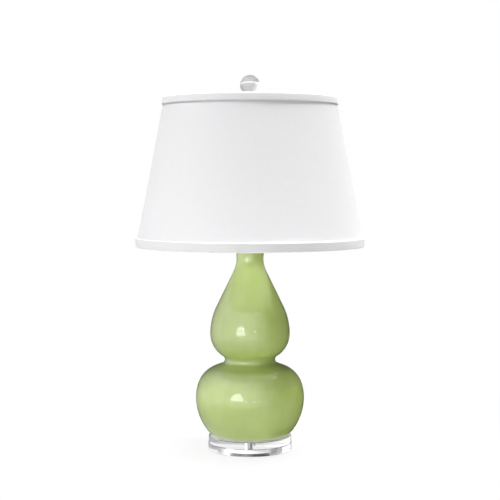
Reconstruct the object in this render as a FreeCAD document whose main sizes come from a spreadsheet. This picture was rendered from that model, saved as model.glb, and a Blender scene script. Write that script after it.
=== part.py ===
"""Double gourd table lamp: a hollow ceramic gourd on a clear two-disc base, with a socket,
bulb, harp, fabric shade and clear ball finial. Millimetres, +Z up, origin under the base's centre."""

import FreeCAD, Part
import math
import os
import Sketcher
from FreeCAD import Placement, Rotation, Vector

doc = FreeCAD.newDocument("double_gourd_lamp")

# ---------------------------------------------------------------- driving dimensions
DIMENSIONS = {
    # feet and the two clear discs
    "pad_radius": 5.0, "pad_height": 1.6, "pad_circle_radius": 66.0,
    "lower_disc_radius": 83.8, "lower_disc_height": 14.0,
    "upper_disc_radius": 83.0, "upper_disc_height": 14.0, "disc_chamfer": 0.7,
    "recess_radius": 43.0, "recess_depth": 10.8, "disc_bore_radius": 7.5,
    # threaded pipe and what it clamps
    "pipe_radius": 5.0, "pipe_bore_radius": 3.4, "pipe_clearance": 0.05,
    "bottom_washer_radius": 38.0, "bottom_washer_thickness": 1.6,
    "nut_across_flats": 14.3, "nut_height": 5.0, "pipe_below_nut": 1.4,
    "gasket_outer_radius": 70.0, "gasket_inner_radius": 55.0, "gasket_thickness": 0.8,
    # ceramic gourd, heights counted from its foot
    "gourd_wall": 5.0, "gourd_floor": 8.0, "floor_hole_radius": 12.0, "foot_rounding": 2.6,
    "lower_bulb_radius": 108.7, "lower_bulb_level": 75.6,
    "lower_bulb_under_curve": 107.7, "lower_bulb_side_curve": 90.0,
    "shoulder_centre_radius": 51.4, "shoulder_centre_level": 85.7,
    "waist_radius": 50.6, "waist_curve": 8.8,
    "upper_bulb_radius": 79.8, "upper_bulb_level": 204.6,
    "upper_bulb_under_curve": 53.5, "upper_bulb_side_share": 0.82667,
    "neck_radius": 27.0, "neck_below_lip": 15.0, "neck_curve_share": 0.378,
    "gourd_height": 369.6, "lip_rounding": 1.8,
    # rear cord outlet, square to the gourd's surface
    "outlet_tilt": 25.0, "outlet_hole_radius": 6.2, "bushing_clearance": 0.1,
    "bushing_bore_radius": 4.0, "bushing_flange_radius": 9.0, "bushing_flange_thickness": 1.6,
    "bushing_inner_length": 9.0,
    # neck hardware
    "cap_plate_radius": 26.0, "cap_plate_thickness": 2.0, "cap_plug_depth": 3.5, "cap_plug_gap": 0.5,
    "spacer_radius": 9.0, "spacer_length": 19.7,
    "saddle_thickness": 1.6, "saddle_width": 14.0, "saddle_half_span": 25.4,
    "ear_height": 9.0, "ear_width": 5.0,
    # socket
    "socket_cap_height": 22.0, "socket_cap_radius": 17.0, "socket_cap_foot_radius": 11.0,
    "socket_cap_wall": 0.7, "socket_cap_skirt": 8.0,
    "socket_hub_radius": 8.0, "socket_hub_height": 9.0,
    "shell_gap": 0.15, "shell_wall": 0.6, "shell_height": 44.0, "shell_overlap": 5.0,
    "liner_gap": 0.2, "liner_thickness": 0.8, "liner_inset": 2.0,
    "core_radius": 12.2, "core_flange_radius": 13.9, "core_height": 20.0, "core_flange_height": 4.0,
    "core_start": 2.0, "screw_shell_wall": 0.4, "screw_shell_height": 23.0, "screw_shell_gap": 0.15,
    "contact_width": 5.0, "contact_length": 14.0, "contact_thickness": 0.5, "contact_rise": 2.6,
    "terminal_radius": 2.6, "terminal_head": 1.1, "terminal_level": 8.0,
    # switch
    "stem_radius": 2.0, "stem_clearance": 0.06, "stem_level": 14.5, "stem_inner_end": 6.0,
    "stem_hole_radius": 3.4, "knob_radius": 5.6, "knob_length": 12.0, "knob_gap": 1.2,
    "knob_groove_radius": 0.7, "knob_groove_count": 14.0, "knob_rounding": 0.8,
    # bulb
    "bulb_base_radius": 13.05, "bulb_base_height": 19.0, "bulb_base_wall": 0.5, "bulb_base_foot_radius": 6.5,
    "tip_radius": 4.6, "tip_point_radius": 2.3, "tip_height": 3.4, "tip_gap": 0.1,
    "bulb_radius": 30.0, "bulb_wall": 0.8,
    "bulb_centre_level": 72.0, "bulb_neck_radius": 13.6, "bulb_flare_curve": 60.0,
    # harp
    "harp_height": 266.7, "harp_wire_radius": 2.0, "harp_foot_offset": 26.2, "harp_half_width": 57.0,
    "harp_leg_height": 38.0, "harp_bend_curve": 30.0, "harp_bend_angle": 35.0, "harp_shoulder_curve": 45.0,
    "harp_foot_thickness": 1.5,
    "harp_plate_half_length": 10.0, "harp_plate_width": 10.0, "harp_plate_thickness": 2.4,
    "sleeve_radius": 5.2, "sleeve_bore_radius": 3.9, "sleeve_height": 17.0, "sleeve_top": 5.0,
    "joint_gap": 0.3,
    # swivel stud on the harp
    "stud_shank_radius": 2.0, "stud_clearance": 0.06, "stud_face_gap": 0.2,
    "stud_shoulder_radius": 7.0, "stud_shoulder_height": 2.0, "rivet_radius": 3.6, "rivet_height": 1.6,
    "stud_radius": 3.17, "stud_length": 12.7,
    # shade
    "shade_height": 296.5, "shade_top_radius": 170.2, "shade_bottom_radius": 226.9,
    "fitter_drop": 16.0, "cover_thickness": 0.5, "shade_liner_thickness": 0.6,
    "ring_wire_radius": 1.6, "ring_gap": 0.05,
    "hub_radius": 11.0, "hub_thickness": 3.0, "hub_bore_radius": 3.6, "arm_radius": 1.5,
    "arm_rise_length": 14.0, "arm_end_length": 6.0, "arm_count": 3.0,
    "trim_fold": 1.2, "top_trim_width": 15.0, "top_trim_lower_overhang": 5.2,
    "top_trim_upper_overhang": 3.7, "bottom_trim_width": 18.0, "bottom_trim_overhang": 1.4,
    "bottom_trim_return": 7.0, "trim_rounding": 1.6,
    # finial
    "finial_seat_radius": 6.5, "finial_flange_height": 1.9, "finial_stem_radius": 4.6,
    "finial_stem_start": 4.8, "finial_stem_end": 12.8, "finial_cup_radius": 8.0, "finial_cup_edge": 1.2,
    "finial_seat_height": 19.2, "finial_thread_clearance": 0.08, "finial_thread_depth": 11.0,
    "finial_peg_radius": 2.5, "finial_peg_height": 9.0, "finial_peg_clearance": 0.05,
    "finial_ball_radius": 19.8,
}

sheet = doc.addObject("Spreadsheet::Sheet", "Sizes")
for row, (alias, value) in enumerate(DIMENSIONS.items(), start=1):
    sheet.set(f"A{row}", alias)
    sheet.set(f"B{row}", str(value))
    sheet.setAlias(f"B{row}", alias)
doc.recompute()


class Size:
    """A length or angle, held both as a number and as the text of its spreadsheet expression."""

    def __init__(self, number, text=None):
        self.number = number
        self.text = text if text is not None else repr(number)

    @staticmethod
    def of(value):
        return value if isinstance(value, Size) else Size(value)

    def joined(self, sign, other, number):
        return Size(number, f"({self.text} {sign} {Size.of(other).text})")

    def __add__(self, other):
        return self.joined("+", other, self.number + Size.of(other).number)

    def __sub__(self, other):
        return self.joined("-", other, self.number - Size.of(other).number)

    def __mul__(self, other):
        return self.joined("*", other, self.number * Size.of(other).number)

    def __truediv__(self, other):
        return self.joined("/", other, self.number / Size.of(other).number)

    def __neg__(self):
        return Size(-self.number, f"(0 - {self.text})")


def cos(angle):
    return Size(math.cos(math.radians(angle.number)), f"cos({angle.text})")


def sin(angle):
    return Size(math.sin(math.radians(angle.number)), f"sin({angle.text})")


class Dimensions:
    """The spreadsheet's cells by name, each as a Size."""

    def __getattr__(self, alias):
        return Size(float(getattr(sheet, alias)), f"Sizes.{alias}")


d = Dimensions()
ZERO = Size(0.0)
nodes = []


# ---------------------------------------------------------------- building helpers
def bind(thing, path, size):
    thing.setExpression(path, size.text)


def node(thing, label, height=ZERO):
    """Names a sub-part, lifts it to its height and adds it to the list that is exported."""
    thing.Label = label
    if height.number:
        bind(thing, "Placement.Base.z", height)
    nodes.append(thing)
    return thing


def plane_of(body, role):
    return next(feature for feature in body.Origin.OriginFeatures if feature.Role == role)


def sketch_in(body, role, offset=ZERO):
    sketch = body.newObject("Sketcher::SketchObject", "Sketch")
    sketch.AttachmentSupport = [(plane_of(body, role), "")]
    sketch.MapMode = "FlatFace"
    if offset.number:
        bind(sketch, "AttachmentOffset.Base.z", offset)
    return sketch


def set_size(sketch, kind, places, size):
    index = sketch.addConstraint(Sketcher.Constraint(kind, *places, size.number))
    bind(sketch, f"Constraints[{index}]", size)


def pin(sketch, edge, end, x=None, y=None):
    """Places one end of an edge, measured from the sketch's origin."""
    for kind, size, axis in (("DistanceX", x, -2), ("DistanceY", y, -1)):
        if size is None:
            continue
        if size.number == 0:
            sketch.addConstraint(Sketcher.Constraint("PointOnObject", edge, end, axis))
        else:
            set_size(sketch, kind, (-1, 1, edge, end), size)


def draw_polygon(sketch, corners):
    """A closed outline of straight edges through corners given as (x, y) sizes."""
    points = [Vector(Size.of(x).number, Size.of(y).number, 0) for x, y in corners]
    count = len(points)
    for i in range(count):
        sketch.addGeometry(Part.LineSegment(points[i], points[(i + 1) % count]), False)
    for i in range(count):
        sketch.addConstraint(Sketcher.Constraint("Coincident", i, 2, (i + 1) % count, 1))
    for i, (x, y) in enumerate(corners):
        pin(sketch, i, 1, Size.of(x), Size.of(y))


def draw_open_run(sketch, corners):
    """Straight edges through corners given as (x, y) sizes, left open at both ends."""
    points = [Vector(x.number, y.number, 0) for x, y in corners]
    for i, (start, end) in enumerate(zip(points, points[1:])):
        sketch.addGeometry(Part.LineSegment(start, end), False)
        if i:
            sketch.addConstraint(Sketcher.Constraint("Coincident", i - 1, 2, i, 1))
        pin(sketch, i, 1, *corners[i])
    pin(sketch, len(points) - 2, 2, *corners[-1])


def draw_circle(sketch, x, y, radius):
    circle = Part.Circle(Vector(x.number, y.number, 0), Vector(0, 0, 1), radius.number)
    edge = sketch.addGeometry(circle, False)
    pin(sketch, edge, 3, x, y)
    set_size(sketch, "Radius", (edge,), radius)


def revolved(body, sketch, kind="PartDesign::Revolution"):
    feature = body.newObject(kind, "Turn")
    feature.Profile = sketch
    feature.ReferenceAxis = (sketch, ["V_Axis"])
    feature.Angle = 360
    return feature


def padded(body, sketch, length, both_sides=False):
    feature = body.newObject("PartDesign::Pad", "Pad")
    feature.Profile = sketch
    bind(feature, "Length", length)
    feature.Midplane = both_sides
    return feature


def new_body():
    return doc.addObject("PartDesign::Body", "Body")


def turned(corners):
    """A round piece: the half outline through corners of (radius, height), turned about Z."""
    body = new_body()
    sketch = sketch_in(body, "XZ_Plane")
    draw_polygon(sketch, corners)
    revolved(body, sketch)
    return body


def tube(outer, inner, low, high):
    return turned([(inner, low), (outer, low), (outer, high), (inner, high)])


def cylinder(radius, length, at=(ZERO, ZERO, ZERO), turn=None):
    rod = doc.addObject("Part::Cylinder", "Cylinder")
    bind(rod, "Radius", radius)
    bind(rod, "Height", length)
    if turn:
        axis, angle = turn
        rod.Placement = Placement(Vector(), Rotation(axis, angle.number))
        bind(rod, "Placement.Rotation.Angle", angle)
    for name, size in zip("xyz", at):
        if size.number:
            bind(rod, f"Placement.Base.{name}", size)
    return rod


def cut(base, tool):
    result = doc.addObject("Part::Cut", "Cut")
    result.Base = base
    result.Tool = tool
    return result


def group(pieces):
    result = doc.addObject("Part::Compound", "Group")
    result.Links = pieces
    return result


class Chain:
    """A run of lines and arcs in a sketch, each joined to the one before it."""

    def __init__(self, sketch):
        self.sketch = sketch
        self.last = None
        self.first = None

    def join(self, edge, start, end, tangent):
        if self.last:
            kind = "Tangent" if tangent else "Coincident"
            self.sketch.addConstraint(Sketcher.Constraint(kind, *self.last, edge, start))
        else:
            self.first = (edge, start)
        self.last = (edge, end)
        return edge

    def line(self, start, end, tangent=False):
        edge = self.sketch.addGeometry(Part.LineSegment(start, end), False)
        return self.join(edge, 1, 2, tangent)

    def arc(self, centre, start, end, leftward, tangent=False):
        """An arc that turns left as it runs, or right, where its centre is on that side."""
        first, second = (start, end) if leftward else (end, start)
        angles = [math.atan2(p.y - centre.y, p.x - centre.x) for p in (first, second)]
        if angles[1] < angles[0]:
            angles[1] += 2 * math.pi
        circle = Part.Circle(centre, Vector(0, 0, 1), (start - centre).Length)
        edge = self.sketch.addGeometry(Part.ArcOfCircle(circle, *angles), False)
        ends = (1, 2) if leftward else (2, 1)
        return self.join(edge, *ends, tangent)

    def close(self):
        self.sketch.addConstraint(Sketcher.Constraint("Coincident", *self.last, *self.first))


def between(left_centre, left_radius, right_centre, right_radius):
    """Ends of the line that leaves an arc turning left and meets one turning right, tangent to both."""
    span = right_centre - left_centre
    along = Vector(span).normalize()
    across = Vector(-along.y, along.x, 0)
    sine = (left_radius + right_radius) / span.Length
    normal = across * math.sqrt(1 - sine * sine) - along * sine
    return left_centre - normal * left_radius, right_centre + normal * right_radius


def towards(start, goal, distance):
    return start + (goal - start).normalize() * distance


# ---------------------------------------------------------------- levels, from the floor up
lower_disc_level = d.pad_height
upper_disc_level = lower_disc_level + d.lower_disc_height
gasket_level = upper_disc_level + d.upper_disc_height
foot_level = gasket_level + d.gasket_thickness
lip_level = foot_level + d.gourd_height
spacer_level = lip_level + d.cap_plate_thickness
saddle_level = spacer_level + d.spacer_length
socket_level = saddle_level + d.saddle_thickness
recess_ceiling = lower_disc_level + d.recess_depth
washer_level = recess_ceiling - d.bottom_washer_thickness
nut_level = washer_level - d.nut_height
pipe_level = nut_level - d.pipe_below_nut
hub_level = socket_level + d.harp_height
shade_top_level = hub_level + d.fitter_drop
shade_bottom_level = shade_top_level - d.shade_height


# ---------------------------------------------------------------- feet and clear base
def make_feet():
    count = 4
    pads = []
    for i in range(count):
        angle = math.radians(45 + 360 / count * i)
        x, y = d.pad_circle_radius * math.cos(angle), d.pad_circle_radius * math.sin(angle)
        pads.append(cylinder(d.pad_radius, d.pad_height, (x, y, ZERO)))
    node(group(pads), "foot_pads")


def make_disc(label, radius, height, level, recess=False):
    bevel = d.disc_chamfer
    outline = [(radius - bevel, ZERO), (radius, bevel), (radius, height - bevel), (radius - bevel, height),
               (d.disc_bore_radius, height)]
    if recess:
        outline += [(d.disc_bore_radius, d.recess_depth), (d.recess_radius, d.recess_depth),
                    (d.recess_radius, ZERO)]
    else:
        outline += [(d.disc_bore_radius, ZERO)]
    node(turned(outline), label, level)


# ---------------------------------------------------------------- clamp through the base and gourd
def make_clamp():
    pipe_length = socket_level + d.socket_hub_height - pipe_level
    node(tube(d.pipe_radius, d.pipe_bore_radius, ZERO, pipe_length), "threaded_pipe", pipe_level)
    bore = d.pipe_radius + d.pipe_clearance
    washer = tube(d.bottom_washer_radius, bore, ZERO, d.bottom_washer_thickness)
    node(washer, "bottom_washer", washer_level)

    prism = doc.addObject("Part::Prism", "Hexagon")
    prism.Polygon = 6
    bind(prism, "Circumradius", d.nut_across_flats / 2 / cos(Size(30.0)))
    bind(prism, "Height", d.nut_height)
    bind(prism, "Placement.Base.z", nut_level)
    drill = cylinder(bore, d.nut_height * 2, (ZERO, ZERO, nut_level - d.nut_height / 2))
    node(cut(prism, drill), "bottom_nut")

    gasket = tube(d.gasket_outer_radius, d.gasket_inner_radius, ZERO, d.gasket_thickness)
    node(gasket, "foot_gasket", gasket_level)


# ---------------------------------------------------------------- ceramic gourd
neck_level = d.gourd_height - d.neck_below_lip
neck_rise = neck_level - d.upper_bulb_level
neck_curve = neck_rise * d.neck_curve_share
throat_radius = d.neck_radius + neck_curve


def draw_gourd(sketch, inset, floor, top):
    """The gourd's half outline, moved inwards by inset, from its floor to its top, closed on the axis."""
    def at(x, y):
        return Vector(x.number, y.number, 0)

    def on_level(centre, radius, level):
        rise = level - centre.y
        return math.sqrt(radius ** 2 - rise ** 2)

    lower, upper = d.lower_bulb_level, d.upper_bulb_level
    lower_radius, upper_radius = d.lower_bulb_radius - inset, d.upper_bulb_radius - inset
    under = d.lower_bulb_under_curve - inset
    side = d.lower_bulb_side_curve - inset
    chin = d.upper_bulb_under_curve - inset
    flank = neck_rise * d.upper_bulb_side_share - inset
    notch = d.waist_curve + inset
    throat = neck_curve + inset

    under_centre = at(lower_radius - under, lower)
    side_centre = at(lower_radius - side, lower)
    shoulder_centre = at(d.shoulder_centre_radius, d.shoulder_centre_level)
    shoulder = side.number - (shoulder_centre - side_centre).Length
    chin_centre = at(upper_radius - chin, upper)
    flank_centre = at(upper_radius - flank, upper)
    notch_radius = d.waist_radius + d.waist_curve
    reach = chin.number + notch.number
    notch_drop = math.sqrt(reach ** 2 - (notch_radius.number - chin_centre.x) ** 2)
    notch_centre = Vector(notch_radius.number, chin_centre.y - notch_drop, 0)
    throat_centre = at(throat_radius, neck_level)

    low = Vector(under_centre.x + on_level(under_centre, under.number, floor.number), floor.number, 0)
    belly = at(lower_radius, lower)
    to_shoulder = towards(side_centre, shoulder_centre, side.number)
    slope_low, slope_high = between(shoulder_centre, shoulder, notch_centre, notch.number)
    waist = towards(notch_centre, chin_centre, notch.number)
    upper_belly = at(upper_radius, upper)
    neck_low, neck_high = between(flank_centre, flank.number, throat_centre, throat.number)
    lip = Vector(throat_centre.x - on_level(throat_centre, throat.number, top.number), top.number, 0)

    chain = Chain(sketch)
    floor_edge = chain.line(Vector(0, floor.number, 0), low)
    under_arc = chain.arc(under_centre, low, belly, True)
    side_arc = chain.arc(side_centre, belly, to_shoulder, True)
    shoulder_arc = chain.arc(shoulder_centre, to_shoulder, slope_low, True, tangent=True)
    chain.line(slope_low, slope_high, tangent=True)
    notch_arc = chain.arc(notch_centre, slope_high, waist, False, tangent=True)
    chin_arc = chain.arc(chin_centre, waist, upper_belly, True, tangent=True)
    flank_arc = chain.arc(flank_centre, upper_belly, neck_low, True)
    chain.line(neck_low, neck_high, tangent=True)
    throat_arc = chain.arc(throat_centre, neck_high, lip, False, tangent=True)
    top_edge = chain.line(lip, Vector(0, top.number, 0))
    chain.line(Vector(0, top.number, 0), Vector(0, floor.number, 0))
    chain.close()

    pin(sketch, floor_edge, 1, ZERO, floor)
    pin(sketch, floor_edge, 2, y=floor)
    pin(sketch, top_edge, 1, y=top)
    pin(sketch, top_edge, 2, ZERO, top)
    pin(sketch, under_arc, 2, lower_radius)
    for arc in (under_arc, side_arc):
        pin(sketch, arc, 3, y=lower)
    pin(sketch, side_arc, 1, y=lower)
    pin(sketch, shoulder_arc, 3, d.shoulder_centre_radius, d.shoulder_centre_level)
    pin(sketch, notch_arc, 3, notch_radius)
    for arc in (chin_arc, flank_arc):
        pin(sketch, arc, 3, y=upper)
    pin(sketch, flank_arc, 1, upper_radius, upper)
    pin(sketch, throat_arc, 3, throat_radius, neck_level)
    radii = ((under_arc, under), (side_arc, side), (notch_arc, notch), (chin_arc, chin), (flank_arc, flank),
             (throat_arc, throat))
    for arc, radius in radii:
        set_size(sketch, "Radius", (arc,), radius)


def round_edges(body, level, radius, outermost=False):
    """Rounds the round edges that lie at one level, all of them or the widest alone."""
    doc.recompute()
    base = body.Tip
    found = []
    for i, edge in enumerate(base.Shape.Edges, start=1):
        box = edge.BoundBox
        if abs(box.ZMin - level.number) < 1e-4 and abs(box.ZMax - level.number) < 1e-4 and box.XLength > 1:
            found.append((box.XLength, f"Edge{i}"))
    names = [name for _, name in sorted(found)]
    fillet = body.newObject("PartDesign::Fillet", "Rounding")
    fillet.Base = (base, names[-1:] if outermost else names)
    bind(fillet, "Radius", radius)
    body.Tip = fillet


def outlet_place():
    """Where the cord leaves the gourd at the rear, on its surface: (distance behind the axis, level)."""
    behind = d.lower_bulb_radius - d.lower_bulb_under_curve + d.lower_bulb_under_curve * cos(d.outlet_tilt)
    level = foot_level + d.lower_bulb_level - d.lower_bulb_under_curve * sin(d.outlet_tilt)
    return behind, level


def make_gourd():
    body = new_body()
    outer = sketch_in(body, "XZ_Plane")
    draw_gourd(outer, ZERO, ZERO, d.gourd_height)
    revolved(body, outer)
    inner = sketch_in(body, "XZ_Plane")
    draw_gourd(inner, d.gourd_wall, d.gourd_floor, d.gourd_height + d.gourd_wall)
    revolved(body, inner, "PartDesign::Groove")
    hole = sketch_in(body, "XZ_Plane")
    draw_polygon(hole, [(ZERO, -d.gourd_floor), (d.floor_hole_radius, -d.gourd_floor),
                        (d.floor_hole_radius, d.gourd_floor * 2), (ZERO, d.gourd_floor * 2)])
    revolved(body, hole, "PartDesign::Groove")
    round_edges(body, ZERO, d.foot_rounding, outermost=True)
    round_edges(body, d.gourd_height, d.lip_rounding)
    bind(body, "Placement.Base.z", foot_level)

    behind, level = outlet_place()
    depth = d.gourd_wall * 4
    drill = cylinder(d.outlet_hole_radius, depth, turn=(Vector(-1, 0, 0), d.outlet_tilt + 90))
    bind(drill, "Placement.Base.y", behind - depth / 2 * cos(d.outlet_tilt))
    bind(drill, "Placement.Base.z", level + depth / 2 * sin(d.outlet_tilt))
    node(cut(body, drill), "gourd_body")


def make_bushing():
    behind, level = outlet_place()
    barrel = d.outlet_hole_radius - d.bushing_clearance
    flange, bore = d.bushing_flange_radius, d.bushing_bore_radius
    inner_end = -d.bushing_inner_length
    bushing = turned([(bore, inner_end), (barrel, inner_end), (barrel, ZERO), (flange, ZERO),
                      (flange, d.bushing_flange_thickness / 2),
                      (flange - d.bushing_flange_thickness / 2, d.bushing_flange_thickness),
                      (bore, d.bushing_flange_thickness)])
    bushing.Placement = Placement(Vector(), Rotation(Vector(-1, 0, 0), 90 + d.outlet_tilt.number))
    bind(bushing, "Placement.Rotation.Angle", d.outlet_tilt + 90)
    bind(bushing, "Placement.Base.y", behind)
    node(bushing, "cord_outlet_bushing", level)


# ---------------------------------------------------------------- neck hardware
def make_neck():
    bore = d.pipe_radius + d.pipe_clearance
    plug = d.neck_radius - d.gourd_wall - d.cap_plug_gap
    edge = d.cap_plate_thickness / 2
    cap = turned([(bore, -d.cap_plug_depth), (plug, -d.cap_plug_depth), (plug, ZERO),
                  (d.cap_plate_radius, ZERO), (d.cap_plate_radius, edge),
                  (d.cap_plate_radius - edge, d.cap_plate_thickness), (bore, d.cap_plate_thickness)])
    node(cap, "vase_cap", lip_level)
    node(tube(d.spacer_radius, bore, ZERO, d.spacer_length), "neck_spacer", spacer_level)


def make_saddle():
    """A flat strip on the spacer, with an upright ear at each end for a harp foot."""
    body = new_body()
    strip = sketch_in(body, "XZ_Plane")
    span, thick = d.saddle_half_span, d.saddle_thickness
    draw_polygon(strip, [(-span, ZERO), (span, ZERO), (span, thick), (-span, thick)])
    padded(body, strip, d.saddle_width, both_sides=True)
    for side in (1, -1):
        ear = sketch_in(body, "XZ_Plane")
        outer, inner = span * side, (span - thick) * side
        draw_polygon(ear, [(inner, ZERO), (outer, ZERO), (outer, d.ear_height), (inner, d.ear_height)])
        padded(body, ear, d.ear_width, both_sides=True)
    hole = sketch_in(body, "XZ_Plane")
    bore = d.pipe_radius + d.pipe_clearance
    draw_polygon(hole, [(ZERO, -thick), (bore, -thick), (bore, thick * 2), (ZERO, thick * 2)])
    revolved(body, hole, "PartDesign::Groove")
    node(body, "harp_saddle", saddle_level)


# ---------------------------------------------------------------- socket and switch
cap_inner_radius = d.socket_cap_radius - d.socket_cap_wall
shell_radius = cap_inner_radius - d.shell_gap
shell_inner_radius = shell_radius - d.shell_wall
shell_level = socket_level + d.socket_cap_height - d.shell_overlap
liner_radius = shell_inner_radius - d.liner_gap
liner_inner_radius = liner_radius - d.liner_thickness
liner_level = shell_level + d.liner_inset
liner_height = d.shell_height - d.liner_inset * 2
core_level = socket_level + d.socket_hub_height + d.core_start
core_top = core_level + d.core_height
stem_height = core_level + d.stem_level
screw_shell_inner = d.bulb_base_radius + d.screw_shell_gap


def side_hole(radius, height):
    """A cutter from the axis out through the front, at one height."""
    length = d.socket_cap_radius * 2
    return cylinder(radius, length, (ZERO, ZERO, height), (Vector(1, 0, 0), Size(90.0)))


def make_socket():
    bore = d.pipe_radius + d.pipe_clearance
    wall, foot = d.socket_cap_wall, d.socket_cap_foot_radius
    skirt = d.socket_cap_height - d.socket_cap_skirt
    cap = turned([(bore, ZERO), (foot, ZERO), (d.socket_cap_radius, skirt),
                  (d.socket_cap_radius, d.socket_cap_height), (cap_inner_radius, d.socket_cap_height),
                  (cap_inner_radius, skirt), (foot - wall, wall), (d.socket_hub_radius, wall),
                  (d.socket_hub_radius, d.socket_hub_height), (bore, d.socket_hub_height)])
    node(cap, "socket_cap", socket_level)

    shell = tube(shell_radius, shell_inner_radius, ZERO, d.shell_height)
    bind(shell, "Placement.Base.z", shell_level)
    node(cut(shell, side_hole(d.stem_hole_radius, stem_height)), "socket_shell")

    liner = tube(liner_radius, liner_inner_radius, ZERO, liner_height)
    bind(liner, "Placement.Base.z", liner_level)
    node(cut(liner, side_hole(d.stem_hole_radius, stem_height)), "socket_liner")

    flange_start = d.core_height - d.core_flange_height
    core = turned([(ZERO, ZERO), (d.core_radius, ZERO), (d.core_radius, flange_start),
                   (d.core_flange_radius, flange_start), (d.core_flange_radius, d.core_height),
                   (ZERO, d.core_height)])
    bind(core, "Placement.Base.z", core_level)
    stem_hole = side_hole(d.stem_radius + d.stem_clearance, stem_height)
    bind(stem_hole, "Placement.Base.y", -d.stem_inner_end)
    node(cut(core, stem_hole), "socket_core")

    screw_shell = tube(screw_shell_inner + d.screw_shell_wall, screw_shell_inner, ZERO, d.screw_shell_height)
    node(screw_shell, "screw_shell", core_top)

    contact = new_body()
    strip = sketch_in(contact, "XZ_Plane")
    half, thick, rise = d.contact_length / 2, d.contact_thickness, d.contact_rise
    draw_polygon(strip, [(-half, ZERO), (-half / 2, ZERO), (half / 2, rise), (half, rise),
                         (half, rise + thick), (half / 2 - thick, rise + thick),
                         (-half / 2 - thick, thick), (-half, thick)])
    padded(contact, strip, d.contact_width, both_sides=True)
    node(contact, "centre_contact", core_top)

    screws = []
    for side in (1, -1):
        turn = (Vector(0, side, 0), Size(90.0))
        screws.append(cylinder(d.terminal_radius, d.terminal_head,
                               (d.core_radius * side, ZERO, core_level + d.terminal_level), turn))
    node(group(screws), "terminal_screws")


def make_switch():
    """The stem runs along -Y from the socket's core, and the knob sits on its outer end."""
    outer = d.socket_cap_radius + d.knob_gap
    stem_length = outer + d.knob_length / 2 - d.stem_inner_end - d.joint_gap
    stem = cylinder(d.stem_radius, stem_length, (ZERO, -(d.stem_inner_end + d.joint_gap), stem_height),
                    (Vector(1, 0, 0), Size(90.0)))
    node(stem, "switch_stem")

    body = new_body()
    face = sketch_in(body, "XY_Plane")
    draw_circle(face, ZERO, ZERO, d.knob_radius)
    padded(body, face, d.knob_length)
    round_edges(body, d.knob_length, d.knob_rounding)
    socket = sketch_in(body, "XZ_Plane")
    draw_polygon(socket, [(ZERO, -d.knob_length), (d.stem_radius, -d.knob_length),
                          (d.stem_radius, d.knob_length / 2), (ZERO, d.knob_length / 2)])
    revolved(body, socket, "PartDesign::Groove")
    groove = sketch_in(body, "XY_Plane")
    draw_circle(groove, d.knob_radius, ZERO, d.knob_groove_radius)
    pocket = body.newObject("PartDesign::Pocket", "Groove")
    pocket.Profile = groove
    pocket.Type = "ThroughAll"
    pocket.Reversed = True
    pattern = body.newObject("PartDesign::PolarPattern", "Grooves")
    pattern.Originals = [pocket]
    pattern.Axis = (face, ["N_Axis"])
    pattern.Angle = 360
    bind(pattern, "Occurrences", d.knob_groove_count)
    body.Tip = pattern
    body.Placement = Placement(Vector(), Rotation(Vector(1, 0, 0), 90))
    bind(body, "Placement.Base.y", -outer)
    node(body, "switch_knob", stem_height)


# ---------------------------------------------------------------- bulb
def make_bulb():
    tip_level = core_top + d.contact_rise + d.contact_thickness + d.tip_gap
    base_level = tip_level + d.tip_height
    radius, wall, foot = d.bulb_base_radius, d.bulb_base_wall, d.bulb_base_foot_radius
    point = d.tip_point_radius
    tip = turned([(ZERO, ZERO), (point, ZERO), (d.tip_radius, d.tip_height), (ZERO, d.tip_height)])
    node(tip, "bulb_tip", tip_level)
    shell = turned([(ZERO, ZERO), (foot, ZERO), (radius, d.tip_height), (radius, d.bulb_base_height),
                    (radius - wall, d.bulb_base_height), (radius - wall, d.tip_height), (foot, wall),
                    (ZERO, wall)])
    node(shell, "bulb_screw_base", base_level)

    body = new_body()
    for inset, kind in ((ZERO, "PartDesign::Revolution"), (d.bulb_wall, "PartDesign::Groove")):
        sketch = sketch_in(body, "XZ_Plane")
        ball, flare = d.bulb_radius - inset, d.bulb_flare_curve + inset
        neck = d.bulb_neck_radius - inset
        centre = Vector(0, (d.bulb_centre_level - d.bulb_base_height).number, 0)
        # the flare is tangent to the straight neck and to the ball
        side = d.bulb_neck_radius + d.bulb_flare_curve
        drop = math.sqrt((ball.number + flare.number) ** 2 - side.number ** 2)
        flare_centre = Vector(side.number, centre.y - drop, 0)
        start = Vector(neck.number, flare_centre.y, 0)
        meet = towards(flare_centre, centre, flare.number)
        top = Vector(0, centre.y + ball.number, 0)
        chain = Chain(sketch)
        low = chain.line(Vector(0, inset.number, 0), Vector(neck.number, inset.number, 0))
        wall_line = chain.line(Vector(neck.number, inset.number, 0), start)
        flare_arc = chain.arc(flare_centre, start, meet, False, tangent=True)
        ball_arc = chain.arc(centre, meet, top, True, tangent=True)
        axis = chain.line(top, Vector(0, inset.number, 0))
        chain.close()
        pin(sketch, low, 1, ZERO, inset)
        pin(sketch, low, 2, neck, inset)
        sketch.addConstraint(Sketcher.Constraint("Vertical", wall_line))
        set_size(sketch, "Radius", (flare_arc,), flare)
        set_size(sketch, "Radius", (ball_arc,), ball)
        pin(sketch, ball_arc, 3, ZERO, d.bulb_centre_level - d.bulb_base_height)
        pin(sketch, axis, 1, ZERO)
        revolved(body, sketch, kind)
    node(body, "bulb_glass", base_level + d.bulb_base_height)


# ---------------------------------------------------------------- harp, heights counted from the saddle's top
plate_top = d.harp_height - d.stud_shoulder_height - d.stud_face_gap
plate_level = plate_top - d.harp_plate_thickness
foot_plate_level = d.joint_gap
wire_level = d.ear_height - d.saddle_thickness + d.joint_gap


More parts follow.
